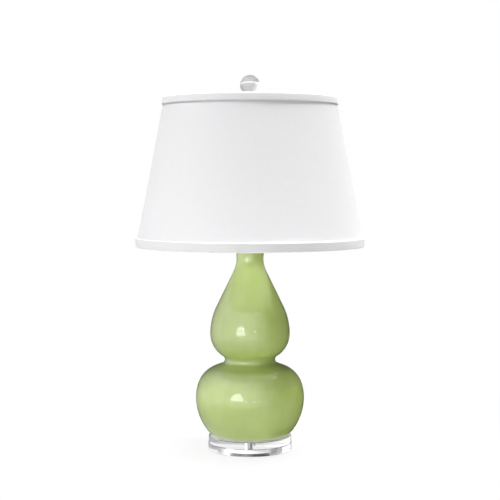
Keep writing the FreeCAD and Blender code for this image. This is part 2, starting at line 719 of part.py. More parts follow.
def draw_harp_leg(sketch):
    """The harp's right half from its foot to its top plate: a bend out, a bend back and a shoulder."""
    bend, shoulder = d.harp_bend_curve.number, d.harp_shoulder_curve.number
    angle = math.radians(d.harp_bend_angle.number)
    foot, wide = d.harp_foot_offset.number, d.harp_half_width.number
    top = (plate_level + d.harp_plate_thickness / 2).number
    leg_top = d.harp_leg_height.number
    step = (wide - foot - 2 * bend * (1 - math.cos(angle))) / math.sin(angle)
    run = Vector(math.sin(angle), math.cos(angle), 0)

    chain = Chain(sketch)
    leg = chain.line(Vector(foot, wire_level.number, 0), Vector(foot, leg_top, 0))
    out_centre = Vector(foot + bend, leg_top, 0)
    out_end = out_centre + Vector(-math.cos(angle), math.sin(angle), 0) * bend
    out_arc = chain.arc(out_centre, Vector(foot, leg_top, 0), out_end, False, tangent=True)
    back_start = out_end + run * step
    slope = chain.line(out_end, back_start, tangent=True)
    back_centre = back_start + Vector(-math.cos(angle), math.sin(angle), 0) * bend
    back_end = Vector(wide, back_centre.y, 0)
    back_arc = chain.arc(back_centre, back_start, back_end, True, tangent=True)
    side_top = Vector(wide, top - shoulder, 0)
    side = chain.line(back_end, side_top, tangent=True)
    turn_end = Vector(wide - shoulder, top, 0)
    turn = chain.arc(Vector(wide - shoulder, top - shoulder, 0), side_top, turn_end, True, tangent=True)
    inner = d.harp_plate_half_length - d.harp_wire_radius
    top_line = chain.line(turn_end, Vector(inner.number, top, 0), tangent=True)

    sketch.addConstraint(Sketcher.Constraint("Vertical", leg))
    pin(sketch, leg, 1, d.harp_foot_offset, wire_level)
    pin(sketch, leg, 2, y=d.harp_leg_height)
    set_size(sketch, "Radius", (out_arc,), d.harp_bend_curve)
    set_size(sketch, "Radius", (back_arc,), d.harp_bend_curve)
    set_size(sketch, "Radius", (turn,), d.harp_shoulder_curve)
    set_size(sketch, "Angle", (-1, 1, slope, 1), Size(90.0) - d.harp_bend_angle)
    sketch.addConstraint(Sketcher.Constraint("Vertical", side))
    pin(sketch, side, 2, d.harp_half_width)
    sketch.addConstraint(Sketcher.Constraint("Horizontal", top_line))
    pin(sketch, top_line, 2, inner, plate_level + d.harp_plate_thickness / 2)


def make_harp():
    body = new_body()
    plate = sketch_in(body, "XY_Plane", plate_level)
    half, wide = d.harp_plate_half_length, d.harp_plate_width / 2
    draw_polygon(plate, [(-half, -wide), (half, -wide), (half, wide), (-half, wide)])
    padded(body, plate, d.harp_plate_thickness)

    path = sketch_in(body, "XZ_Plane")
    draw_harp_leg(path)
    section = sketch_in(body, "XY_Plane", wire_level)
    draw_circle(section, d.harp_foot_offset, ZERO, d.harp_wire_radius)
    wire = body.newObject("PartDesign::AdditivePipe", "Wire")
    wire.Profile = section
    wire.Spine = path

    foot = sketch_in(body, "XZ_Plane")
    inner = d.saddle_half_span + d.joint_gap
    outer = inner + d.harp_foot_thickness
    high = wire_level + d.harp_wire_radius
    draw_polygon(foot, [(inner, foot_plate_level), (outer, foot_plate_level), (outer, high), (inner, high)])
    foot_pad = padded(body, foot, d.ear_width, both_sides=True)
    mirror = body.newObject("PartDesign::Mirrored", "OtherHalf")
    mirror.Originals = [wire, foot_pad]
    mirror.MirrorPlane = (plane_of(body, "YZ_Plane"), [""])
    body.Tip = mirror

    hole = sketch_in(body, "XZ_Plane")
    bore = d.stud_shank_radius + d.stud_clearance
    low, top = plate_level - d.harp_plate_thickness, plate_top + d.harp_plate_thickness
    draw_polygon(hole, [(ZERO, low), (bore, low), (bore, top), (ZERO, top)])
    body.Tip = revolved(body, hole, "PartDesign::Groove")
    node(body, "harp_wire", socket_level)


def make_sleeves():
    wire_bore = d.harp_wire_radius + d.joint_gap
    neck = d.sleeve_height - d.sleeve_top
    rim = d.sleeve_top / 2
    for side, label in ((-1, "harp_sleeve_left"), (1, "harp_sleeve_right")):
        sleeve = turned([(d.sleeve_bore_radius, ZERO), (d.sleeve_radius, ZERO),
                         (d.sleeve_radius, neck + rim), (wire_bore + rim / 2, d.sleeve_height),
                         (wire_bore, d.sleeve_height), (wire_bore, neck), (d.sleeve_bore_radius, neck)])
        bind(sleeve, "Placement.Base.x", d.harp_foot_offset * side)
        node(sleeve, label, socket_level + d.joint_gap)


def make_stud():
    shank, shoulder = d.stud_shank_radius, d.stud_shoulder_radius
    low = plate_level - d.stud_face_gap - d.rivet_height
    stud = turned([(ZERO, low), (d.rivet_radius, low), (d.rivet_radius, low + d.rivet_height),
                   (shank, low + d.rivet_height), (shank, plate_top + d.stud_face_gap),
                   (shoulder, plate_top + d.stud_face_gap), (shoulder, d.harp_height),
                   (d.stud_radius, d.harp_height), (d.stud_radius, d.harp_height + d.stud_length),
                   (ZERO, d.harp_height + d.stud_length)])
    node(stud, "harp_stud", socket_level)


# ---------------------------------------------------------------- shade
shade_slope = (d.shade_bottom_radius - d.shade_top_radius) / d.shade_height
ring_inset = d.cover_thickness + d.shade_liner_thickness + d.ring_wire_radius + d.ring_gap
edge_drop = d.trim_fold + d.ring_wire_radius


def shade_radius(height):
    """The cover's outer radius at a height above the shade's bottom edge."""
    return d.shade_bottom_radius - height * shade_slope


def make_shade_skin(label, outside, thickness):
    """A cone shell that starts a given distance inside the cover's outer face."""
    low, high = d.trim_fold, d.shade_height - d.trim_fold
    outline = [(shade_radius(low) - outside - thickness, low), (shade_radius(low) - outside, low),
               (shade_radius(high) - outside, high), (shade_radius(high) - outside - thickness, high)]
    node(turned(outline), label, shade_bottom_level)


def make_ring(label, height):
    ring = doc.addObject("Part::Torus", "Ring")
    bind(ring, "Radius1", shade_radius(height) - ring_inset)
    bind(ring, "Radius2", d.ring_wire_radius)
    node(ring, label, shade_bottom_level + height)


def make_spider():
    """The washer on the harp's stud, with arms out to the shade's top ring."""
    body = new_body()
    hub = sketch_in(body, "XY_Plane")
    draw_circle(hub, ZERO, ZERO, d.hub_radius)
    padded(body, hub, d.hub_thickness)

    ring_height = d.fitter_drop - edge_drop
    ring_radius = shade_radius(d.shade_height - edge_drop) - ring_inset
    reach = ring_radius - d.ring_wire_radius - d.ring_gap
    level = d.hub_thickness / 2
    high_bend = reach - d.arm_end_length
    low_bend = high_bend - d.arm_rise_length
    path = sketch_in(body, "XZ_Plane")
    draw_open_run(path, [(ZERO, level), (low_bend, level), (high_bend, ring_height), (reach, ring_height)])
    section = sketch_in(body, "YZ_Plane")
    draw_circle(section, ZERO, level, d.arm_radius)
    arm = body.newObject("PartDesign::AdditivePipe", "Arm")
    arm.Profile = section
    arm.Spine = path
    arm.Transition = "Round corner"
    pattern = body.newObject("PartDesign::PolarPattern", "Arms")
    pattern.Originals = [arm]
    pattern.Axis = (hub, ["N_Axis"])
    pattern.Angle = 360
    bind(pattern, "Occurrences", d.arm_count)
    body.Tip = pattern

    hole = sketch_in(body, "XZ_Plane")
    low, high = -d.hub_thickness, d.hub_thickness * 2
    draw_polygon(hole, [(ZERO, low), (d.hub_bore_radius, low), (d.hub_bore_radius, high), (ZERO, high)])
    body.Tip = revolved(body, hole, "PartDesign::Groove")
    node(body, "shade_spider", hub_level)


def make_trims():
    """Folded fabric bands over the shade's two edges."""
    fold, rounding = d.trim_fold, d.trim_rounding
    high = d.shade_height
    low = high - d.top_trim_width
    inside = shade_radius(high - edge_drop) - ring_inset - d.ring_wire_radius
    outer_low = d.shade_top_radius + d.top_trim_lower_overhang
    outer_high = d.shade_top_radius + d.top_trim_upper_overhang
    top = turned([(shade_radius(low), low), (outer_low, low), (outer_high, high - rounding),
                  (outer_high - rounding, high), (inside, high), (inside, high - fold),
                  (shade_radius(high - fold), high - fold)])
    node(top, "top_trim", shade_bottom_level)

    outer, width = d.shade_bottom_radius + d.bottom_trim_overhang, d.bottom_trim_width
    inside = shade_radius(edge_drop) - ring_inset - d.ring_wire_radius - d.ring_gap
    inner_high = d.bottom_trim_return
    bottom = turned([(inside - fold, ZERO), (outer - rounding, ZERO), (outer, rounding), (outer, width),
                     (shade_radius(width), width), (shade_radius(fold), fold), (inside, fold),
                     (inside, inner_high), (inside - fold, inner_high)])
    node(bottom, "bottom_trim", shade_bottom_level)


# ---------------------------------------------------------------- finial
def make_finial():
    level = hub_level + d.hub_thickness + d.joint_gap
    bore = d.stud_radius + d.finial_thread_clearance
    seat, stem, cup = d.finial_seat_radius, d.finial_stem_radius, d.finial_cup_radius
    high = d.finial_seat_height
    peg, peg_top = d.finial_peg_radius, d.finial_seat_height + d.finial_peg_height
    metal = turned([(bore, ZERO), (seat, ZERO), (seat, d.finial_flange_height), (stem, d.finial_stem_start),
                    (stem, d.finial_stem_end), (cup, high - d.finial_cup_edge), (cup, high), (peg, high),
                    (peg, peg_top), (ZERO, peg_top), (ZERO, d.finial_thread_depth),
                    (bore, d.finial_thread_depth)])
    node(metal, "finial_seat", level)

    # the ball is ground flat where it meets the cup
    body = new_body()
    sketch = sketch_in(body, "XZ_Plane")
    radius, flat = d.finial_ball_radius, d.finial_cup_radius
    drop = math.sqrt(radius.number ** 2 - flat.number ** 2)
    hole, depth = d.finial_peg_radius + d.finial_peg_clearance, d.finial_peg_height + d.finial_peg_clearance
    chain = Chain(sketch)
    rim = chain.line(Vector(hole.number, 0, 0), Vector(flat.number, 0, 0))
    ball = chain.arc(Vector(0, drop, 0), Vector(flat.number, 0, 0), Vector(0, drop + radius.number, 0), True)
    axis = chain.line(Vector(0, drop + radius.number, 0), Vector(0, depth.number, 0))
    end = chain.line(Vector(0, depth.number, 0), Vector(hole.number, depth.number, 0))
    chain.line(Vector(hole.number, depth.number, 0), Vector(hole.number, 0, 0))
    chain.close()
    pin(sketch, rim, 1, hole, ZERO)
    pin(sketch, rim, 2, flat, ZERO)
    pin(sketch, ball, 3, ZERO)
    set_size(sketch, "Radius", (ball,), radius)
    pin(sketch, axis, 1, ZERO)
    pin(sketch, end, 1, ZERO, depth)
    pin(sketch, end, 2, hole, depth)
    revolved(body, sketch)
    node(body, "finial_ball", level + high)


# ---------------------------------------------------------------- the lamp
make_feet()
make_disc("base_disc_lower", d.lower_disc_radius, d.lower_disc_height, lower_disc_level, recess=True)
make_disc("base_disc_upper", d.upper_disc_radius, d.upper_disc_height, upper_disc_level)
make_clamp()
make_gourd()
make_bushing()
make_neck()
make_saddle()
make_socket()
make_switch()
make_bulb()
make_harp()
make_sleeves()
make_stud()
make_shade_skin("shade_cover", ZERO, d.cover_thickness)
make_shade_skin("shade_liner", d.cover_thickness, d.shade_liner_thickness)
make_ring("shade_top_ring", d.shade_height - edge_drop)
make_ring("shade_bottom_ring", edge_drop)
make_spider()
make_trims()
make_finial()

doc.recompute()
for thing in doc.Objects:
    if {"Invalid", "Error"} & set(thing.State):
        raise RuntimeError(f"{thing.Label} did not build: {thing.State}")
for piece in nodes:
    if piece.Shape.isNull() or not piece.Shape.isValid():
        raise RuntimeError(f"{piece.Label} has no valid shape")

os.makedirs("parts", exist_ok=True)
for piece in nodes:
    piece.Shape.exportStep(f"parts/{piece.Label}.step")
    box = piece.Shape.BoundBox
    print(f"{piece.Label:22s} {len(piece.Shape.Solids)} solids {piece.Shape.Volume:12.1f} mm3 "
          f"x {box.XMin:7.1f}..{box.XMax:6.1f} y {box.YMin:7.1f}..{box.YMax:6.1f} "
          f"z {box.ZMin:7.2f}..{box.ZMax:7.2f}")
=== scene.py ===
"""Dressed double gourd table lamp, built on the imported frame. Metres, +Z up, the front faces -Y."""
import math

import bmesh
import bpy
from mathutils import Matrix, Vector


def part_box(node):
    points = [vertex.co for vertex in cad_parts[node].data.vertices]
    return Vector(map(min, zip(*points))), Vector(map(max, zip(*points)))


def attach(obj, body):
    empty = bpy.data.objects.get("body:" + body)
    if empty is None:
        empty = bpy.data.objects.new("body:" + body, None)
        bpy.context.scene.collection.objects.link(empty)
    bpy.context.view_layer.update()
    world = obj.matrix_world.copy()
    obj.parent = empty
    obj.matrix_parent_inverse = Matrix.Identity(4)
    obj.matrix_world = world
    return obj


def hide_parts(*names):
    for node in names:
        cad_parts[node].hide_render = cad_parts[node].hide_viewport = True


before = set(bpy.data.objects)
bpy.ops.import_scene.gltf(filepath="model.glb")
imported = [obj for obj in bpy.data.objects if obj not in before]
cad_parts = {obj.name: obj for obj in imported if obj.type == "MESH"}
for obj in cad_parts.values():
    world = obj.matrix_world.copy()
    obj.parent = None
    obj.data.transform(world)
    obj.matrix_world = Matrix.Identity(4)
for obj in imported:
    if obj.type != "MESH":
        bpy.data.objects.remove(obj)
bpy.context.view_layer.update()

MM = 0.001
TURN = 2 * math.pi


def level(node, top=False):
    """The height of a node's underside, or of its top."""
    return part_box(node)[1 if top else 0].z


def half_width(node):
    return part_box(node)[1].x


# ---------------------------------------------------------------- sizes that the frame's boxes don't give
# The lens and the gourd are in millimetres, angles in degrees and the rest in metres.
LENS = 90.0
SENSOR = 36.0
CAMERA_PLACE = Vector((0.0, -2500.0, 547.0)) * MM
CAMERA_PITCH = 3.315

GOURD_WALL = 5.0
WAIST_RISE = 151.8
GOURD_FLOOR = 8.0
FLOOR_HOLE_RADIUS = 12.0
FOOT_ROUNDING = 2.6
LIP_ROUNDING = 1.8
OUTLET_TILT = 25.0
OUTLET_HOLE_RADIUS = 6.2

# The gourd's outline is a run of arcs. CENTRE is a radius and a rise above the foot,
# and CURVE is the arc's own radius.
BELLY_RADIUS, BELLY_RISE = 108.7, 75.6
UNDER_CENTRE_RADIUS = 1.0
SIDE_CENTRE_RADIUS, SIDE_CURVE = 18.7, 90
SHOULDER_CENTRE = (51.4, 85.7)
UPPER_RADIUS, UPPER_RISE = 79.8, 204.6
CHIN_CENTRE_RADIUS, CHIN_CURVE = 26.3, 53.5
FLANK_CENTRE_RADIUS, FLANK_CURVE = -44.2, 124
WAIST_CENTRE_RADIUS, WAIST_CURVE = 59.4, 8.8
THROAT_CENTRE, THROAT_CURVE = (83.7, 354.6), 56.7

GLASS_GAP = 0.03 * MM
DISC_CHAMFER = 0.7 * MM
RECESS_RADIUS = 43.0 * MM
RECESS_DEPTH = 10.8 * MM
DISC_BORE = 7.5 * MM

PIPE_RIDGE = 0.4 * MM
PIPE_PITCH = 0.94 * MM
BULB_RIDGE = 0.75 * MM
BULB_PITCH = 3.6 * MM
BULB_TIP_RADIUS = 6.5 * MM
BULB_TIP_SLOPE = 3.4 * MM
BULB_COLLAR = 2.4 * MM

COVER_THICKNESS = 0.45 * MM
SEAM_LAP = 11.0 * MM
SEAM_RISE = 0.4 * MM
THREAD_PITCH = 0.5 * MM
SHADE_SLOPE = (226.9 - 170.2) / 296.5
TRIM_THICKNESS = 0.5 * MM
TRIM_FOLD = 1.6 * MM
TRIM_ROUNDING = 0.6 * MM
TRIM_GAP = 0.3 * MM
TOP_TRIM_LOW_RADIUS = 175.4 * MM
TOP_TRIM_HIGH_RADIUS = 173.9 * MM
TOP_TRIM_WIDTH = 11.5 * MM
BOTTOM_TRIM_WIDTH = 6.5 * MM


# ---------------------------------------------------------------- node expressions
class Wire:
    """A socket that takes part in arithmetic. Every operation adds its Math node."""

    def __init__(self, tree, socket):
        self.tree = tree
        self.socket = socket

    def worked(self, operation, *values, clamp=False):
        settings = {"operation": operation, "use_clamp": clamp}
        return self.tree.node("ShaderNodeMath", settings, dict(enumerate(values)))

    def __add__(self, other):
        return self.worked("ADD", self, other)

    def __sub__(self, other):
        return self.worked("SUBTRACT", self, other)

    def __rsub__(self, other):
        return self.worked("SUBTRACT", other, self)

    def __mul__(self, other):
        return self.worked("MULTIPLY", self, other)

    def __truediv__(self, other):
        return self.worked("DIVIDE", self, other)

    def __rtruediv__(self, other):
        return self.worked("DIVIDE", other, self)

    def __gt__(self, other):
        return self.worked("GREATER_THAN", self, other)

    def __lt__(self, other):
        return self.worked("LESS_THAN", self, other)

    __radd__ = __add__
    __rmul__ = __mul__

    def sine(self):
        return self.worked("SINE", self)

    def cosine(self):
        return self.worked("COSINE", self)

    def size(self):
        return self.worked("ABSOLUTE", self)

    def root(self):
        return self.worked("SQRT", self)

    def limited(self):
        """Kept from 0 to 1."""
        return self.worked("ADD", self, 0.0, clamp=True)

    def at_least(self, other):
        return self.worked("MAXIMUM", self, other)

    def ramp(self, low, high):
        """0 up to low and 1 from high on, with a smooth rise between them."""
        settings = {"interpolation_type": "SMOOTHSTEP"}
        return self.tree.node("ShaderNodeMapRange", settings, {0: self, 1: low, 2: high, 3: 0.0, 4: 1.0})


class Tree:
    """A node tree and the nodes that are added to it."""

    def __init__(self, nodes):
        self.nodes = nodes

    def node(self, kind, settings=None, sockets=None, output=0):
        made = self.nodes.nodes.new(kind)
        for name, value in (settings or {}).items():
            setattr(made, name, value)
        for key, value in (sockets or {}).items():
            self.feed(made.inputs[key], value)
        return Wire(self, made.outputs[output])

    def feed(self, socket, value):
        if isinstance(value, Wire):
            self.nodes.links.new(value.socket, socket)
        else:
            socket.default_value = value

    def parts(self, vector):
        split = self.node("ShaderNodeSeparateXYZ", sockets={0: vector})
        return [Wire(self, output) for output in split.socket.node.outputs]

    def joined(self, x, y, z):
        return self.node("ShaderNodeCombineXYZ", sockets={0: x, 1: y, 2: z})

    def blend(self, factor, first, second):
        return self.node("ShaderNodeMix", {"data_type": "RGBA"}, {0: factor, 6: first, 7: second}, output=2)


class Finish(Tree):
    """A material and the shader nodes behind it."""

    def __init__(self, name, **uniform):
        self.material = bpy.data.materials.new(name)
        self.material.use_nodes = True
        super().__init__(self.material.node_tree)
        self.shader = self.nodes.nodes["Principled BSDF"]
        for socket, value in uniform.items():
            self.shader.inputs[socket.replace("_", " ")].default_value = value

    def drive(self, name, value):
        self.feed(self.shader.inputs[name], value)

    def place(self, kind="Object"):
        """The point being shaded, in metres on the object or on its flattened cloth."""
        return self.node("ShaderNodeTexCoord", output=kind)

    def stretched(self, vector, scale):
        return self.node("ShaderNodeMapping", sockets={"Vector": vector, "Scale": scale})

    def noise(self, vector, scale, detail=3.0, roughness=0.5):
        """Cloudy values about 0.5, with features about 1 / scale metres wide."""
        sockets = {"Vector": vector, "Scale": scale, "Detail": detail, "Roughness": roughness}
        return self.node("ShaderNodeTexNoise", sockets=sockets)

    def cells(self, vector, scale):
        return self.node("ShaderNodeTexVoronoi", sockets={"Vector": vector, "Scale": scale})

    def bump(self, height, distance, strength=1.0):
        sockets = {"Height": height, "Distance": distance, "Strength": strength}
        self.drive("Normal", self.node("ShaderNodeBump", sockets=sockets))


class Pattern(Tree):
    """A Geometry Nodes tree with named sizes, which ends in real geometry with a finish on it."""

    def __init__(self, name, sizes, counts=None):
        super().__init__(bpy.data.node_groups.new(name, "GeometryNodeTree"))
        face = self.nodes.interface
        for label, value in sizes.items():
            face.new_socket(label, in_out="INPUT", socket_type="NodeSocketFloat").default_value = value
        for label, value in (counts or {}).items():
            face.new_socket(label, in_out="INPUT", socket_type="NodeSocketInt").default_value = value
        face.new_socket("Finish", in_out="INPUT", socket_type="NodeSocketMaterial")
        face.new_socket("Geometry", in_out="OUTPUT", socket_type="NodeSocketGeometry")
        self.inputs = self.nodes.nodes.new("NodeGroupInput").outputs

    def given(self, label):
        return Wire(self, self.inputs[label])

    def ends_with(self, shape):
        smooth = self.node("GeometryNodeSetShadeSmooth", sockets={0: shape})
        real = self.node("GeometryNodeRealizeInstances", sockets={0: smooth})
        sockets = {"Geometry": real, "Material": self.given("Finish")}
        coated = self.node("GeometryNodeSetMaterial", sockets=sockets)
        self.feed(self.nodes.nodes.new("NodeGroupOutput").inputs[0], coated)

    def made(self, name, finish, **sizes):
        """An object with this pattern worked into a plain mesh. A size's name has _ for each space."""
        piece = bpy.data.objects.new(name, bpy.data.meshes.new(name))
        bpy.context.scene.collection.objects.link(piece)
        modifier = piece.modifiers.new("pattern", "NODES")
        modifier.node_group = self.nodes
        sockets = {item.name: item.identifier for item in self.nodes.interface.items_tree
                   if item.in_out == "INPUT"}
        for label, value in sizes.items():
            modifier[sockets[label.replace("_", " ")]] = value
        modifier[sockets["Finish"]] = finishes[finish]
        return settled(piece)


def shade_of(red, green, blue):
    return red, green, blue, 1.0


# ---------------------------------------------------------------- finishes
def glaze():
    """Glossy apple-green glaze: cloudy, a little darker in the waist crease, thin on the lip, with a bare
    foot.
    """
    finish = Finish("green_glaze", Specular_IOR_Level=0.9, Coat_Roughness=0.035, Coat_IOR=1.8)
    spot = finish.place()
    _, _, height = finish.parts(spot)
    clouds = finish.noise(spot, 22.0, 4.0)
    streaks = finish.noise(finish.stretched(spot, (1.0, 1.0, 0.25)), 65.0, 3.0)
    tone = (clouds * 0.7 + streaks * 0.3).ramp(0.36, 0.64)
    colour = finish.blend(tone, shade_of(0.395, 0.508, 0.108), shade_of(0.43, 0.546, 0.138))

    # The glaze is drawn a little darker in the waist crease.
    waist = level("gourd_body") + WAIST_RISE * MM
    waist_darker = 1 - ((height - waist).size() / (9 * MM)).ramp(0.2, 1.0)
    colour = finish.blend(waist_darker * 0.15, colour, shade_of(0.36, 0.48, 0.09))
    lip = level("gourd_body", top=True)
    thin = (height / lip).ramp(1 - 0.008, 1.0)
    colour = finish.blend(thin * 0.5, colour, shade_of(0.55, 0.6, 0.33))
    specks = finish.cells(spot, 330.0).ramp(0.03, 0.09)
    sparse = finish.noise(spot, 60.0).ramp(0.54, 0.6)
    colour = finish.blend((1 - specks) * sparse * 0.3, colour, shade_of(0.26, 0.34, 0.06))
    bare = 1 - ((height - level("gourd_body")) / (1.2 * MM)).ramp(0.6, 1.0)
    colour = finish.blend(bare, colour, shade_of(0.62, 0.58, 0.48))
    finish.drive("Base Color", colour)
    finish.drive("Roughness", 0.46 + (clouds - 0.5) * 0.12 + bare * 0.3)
    finish.drive("Coat Weight", 1 - bare)
    ripple = finish.noise(spot, 38.0, 2.0) * 0.7 + finish.noise(spot, 420.0, 2.0) * 0.02
    finish.bump(ripple, 0.5 * MM, 0.35)
    return finish.material


def clear_acrylic():
    """Polished clear plastic, with a milled, slightly matt recess underneath; the recess's grey colour is
    painted shade.
    """
    finish = Finish("clear_acrylic", IOR=1.49, Transmission_Weight=1.0)
    spot = finish.place()
    across, along, height = finish.parts(spot)
    radius = (across * across + along * along).root()
    ceiling = level("base_disc_lower") + RECESS_DEPTH
    milled = (radius < RECESS_RADIUS + 0.2 * MM) * (height < ceiling + 0.3 * MM)
    rings = (radius * (TURN / (0.4 * MM))).sine()
    # Painted shade: the milled recess is coloured grey to look like the shaded cavity under the base; its
    # roughness is its real matt finish.
    polished, recess_painted_shade = shade_of(0.965, 0.972, 0.972), shade_of(0.66, 0.665, 0.665)
    finish.drive("Base Color", finish.blend(milled, polished, recess_painted_shade))
    finish.drive("Roughness", 0.012 + milled * 0.16 + finish.noise(spot, 90.0) * 0.012)
    finish.bump(rings * milled + finish.noise(spot, 1200.0) * 0.1, 0.01 * MM, 0.4)
    return finish.material


def clear_crystal():
    finish = Finish("clear_crystal", Base_Color=shade_of(0.98, 0.98, 0.985), IOR=1.5, Transmission_Weight=1.0)
    spot = finish.place()
    finish.drive("Roughness", 0.004 + finish.noise(spot, 160.0) * 0.01)
    finish.bump(finish.noise(spot, 900.0), 0.01 * MM, 0.1)
    return finish.material


def metal(name, colour, rough):
    """Plated or solid metal with fine drawn lines and faint patches of wear."""
    finish = Finish(name, Metallic=1.0)
    spot = finish.place()
    lines = finish.noise(finish.stretched(spot, (1.0, 1.0, 12.0)), 900.0, 2.0)
    patches = finish.noise(spot, 45.0, 4.0)
    dull = shade_of(*(channel * 0.82 for channel in colour))
    finish.drive("Base Color", finish.blend(patches.ramp(0.35, 0.7) * 0.5, shade_of(*colour), dull))
    finish.drive("Roughness", rough + (lines - 0.5) * 0.14 + (patches - 0.5) * 0.1)
    finish.bump(lines, 0.02 * MM, 0.35)
    return finish.material


def relief_metal(name, colour, rough, beads, width):
    """Thin spun metal with raised beads at the given heights."""
    finish = Finish(name, Metallic=1.0)
    spot = finish.place()
    _, _, height = finish.parts(spot)
    relief = finish.noise(finish.stretched(spot, (1.0, 1.0, 14.0)), 700.0, 2.0) * 0.06
    for bead in beads:
        relief = relief + (1 - ((height - bead).size() / width).ramp(0.0, 1.0))
    patches = finish.noise(spot, 60.0, 4.0)
    dull = shade_of(*(channel * 0.8 for channel in colour))
    finish.drive("Base Color", finish.blend(patches.ramp(0.4, 0.7) * 0.5, shade_of(*colour), dull))
    finish.drive("Roughness", rough + (patches - 0.5) * 0.12)
    finish.bump(relief, 0.5 * MM, 0.8)
    return finish.material


def moulded(name, colour, rough, grain=0.03):
    """Moulded plastic, rubber or enamel with a fine pebbled skin."""
    finish = Finish(name)
    spot = finish.place()
    pebbles = finish.cells(spot, 1500.0)
    patches = finish.noise(spot, 50.0, 4.0)
    lighter = shade_of(*(min(1.0, channel * 1.12 + 0.005) for channel in colour))
    finish.drive("Base Color", finish.blend(patches.ramp(0.35, 0.65), shade_of(*colour), lighter))
    finish.drive("Roughness", rough + (patches - 0.5) * 0.16)
    finish.bump(pebbles + finish.noise(spot, 400.0) * 0.5, grain * MM, 0.5)
    return finish.material


def clear_rubber():
    finish = Finish("clear_rubber", IOR=1.45, Transmission_Weight=0.75)
    spot = finish.place()
    finish.drive("Base Color", finish.blend(finish.noise(spot, 200.0), shade_of(0.88, 0.89, 0.89),
                                            shade_of(0.95, 0.95, 0.95)))
    finish.drive("Roughness", 0.22 + finish.noise(spot, 500.0) * 0.15)
    finish.bump(finish.noise(spot, 1500.0), 0.03 * MM, 0.4)
    return finish.material


def frosted_glass():
    """The bulb's white coated glass, drawn darker at the neck where it meets the metal."""
    finish = Finish("bulb_glass", Coat_Weight=0.6, Coat_Roughness=0.12, Subsurface_Weight=0.3,
                    Subsurface_Scale=2 * MM)
    spot = finish.place()
    _, _, height = finish.parts(spot)
    low, high = level("bulb_glass"), level("bulb_glass", top=True)
    neck = 1 - ((height - low) / (high - low)).ramp(0.0, 0.25)
    colour = finish.blend(neck, shade_of(0.88, 0.875, 0.85), shade_of(0.74, 0.735, 0.71))
    clouds = finish.noise(spot, 35.0, 4.0)
    finish.drive("Base Color", finish.blend(clouds * 0.2, colour, shade_of(0.8, 0.8, 0.78)))
    finish.drive("Roughness", 0.42 + finish.noise(spot, 260.0) * 0.12)
    finish.bump(finish.noise(spot, 1800.0), 0.02 * MM, 0.35)
    return finish.material


def woven(name, light, dark):
    """Plain-woven shade cloth with uneven, slubby threads, on its flattened pattern in metres."""
    finish = Finish(name, Specular_IOR_Level=0.12, Sheen_Weight=0.08, Sheen_Roughness=0.4)
    cloth = finish.place("UV")
    across, along, _ = finish.parts(cloth)
    drift = (finish.noise(cloth, 90.0, 2.0) - 0.5) * (0.5 * MM)
    warp = ((across + drift) * (math.pi / THREAD_PITCH)).sine()
    weft = ((along - drift) * (math.pi / THREAD_PITCH)).sine()
    over = (warp * weft).ramp(-0.25, 0.25)
    threads = warp.size() * over + weft.size() * (1 - over)
    slubs = finish.noise(finish.stretched(cloth, (1.0, 0.03, 1.0)), 1400.0, 2.0)
    slubs = slubs + finish.noise(finish.stretched(cloth, (0.03, 1.0, 1.0)), 1400.0, 2.0)
    tone = slubs * 0.35 + threads * 0.3 + finish.noise(cloth, 12.0, 3.0) * 0.1
    finish.drive("Base Color", finish.blend(tone.ramp(0.2, 0.75), shade_of(*dark), shade_of(*light)))
    finish.drive("Roughness", 0.78 + slubs * 0.08)
    finish.bump(threads + slubs * 0.8, 0.12 * MM, 0.35)
    return finish.material


def styrene():
    """The shade's white laminated lining, with a faint calendered ripple."""
    finish = Finish("shade_styrene", Specular_IOR_Level=0.4)
    spot = finish.place()
    ripple = finish.noise(finish.stretched(spot, (1.0, 1.0, 0.2)), 60.0, 3.0)
    finish.drive("Base Color", finish.blend(ripple, shade_of(0.84, 0.84, 0.83), shade_of(0.88, 0.88, 0.87)))
    finish.drive("Roughness", 0.45 + ripple * 0.15)
    finish.bump(ripple + finish.noise(spot, 900.0) * 0.1, 0.1 * MM, 0.3)
    return finish.material


def pressed_fibre():
    finish = Finish("insulating_paper")
    spot = finish.place()
    fibres = finish.noise(finish.stretched(spot, (1.0, 1.0, 0.2)), 1200.0, 4.0)
    finish.drive("Base Color", finish.blend(fibres, shade_of(0.13, 0.12, 0.11), shade_of(0.24, 0.22, 0.2)))
    finish.drive("Roughness", 0.75 + fibres * 0.15)
    finish.bump(fibres, 0.08 * MM, 0.6)
    return finish.material


def porcelain():
    finish = Finish("porcelain")
    spot = finish.place()
    grains = finish.noise(spot, 900.0, 4.0)
    finish.drive("Base Color", finish.blend(grains, shade_of(0.78, 0.75, 0.69), shade_of(0.86, 0.84, 0.79)))
    finish.drive("Roughness", 0.5 + grains * 0.2)
    finish.bump(grains, 0.05 * MM, 0.5)
    return finish.material


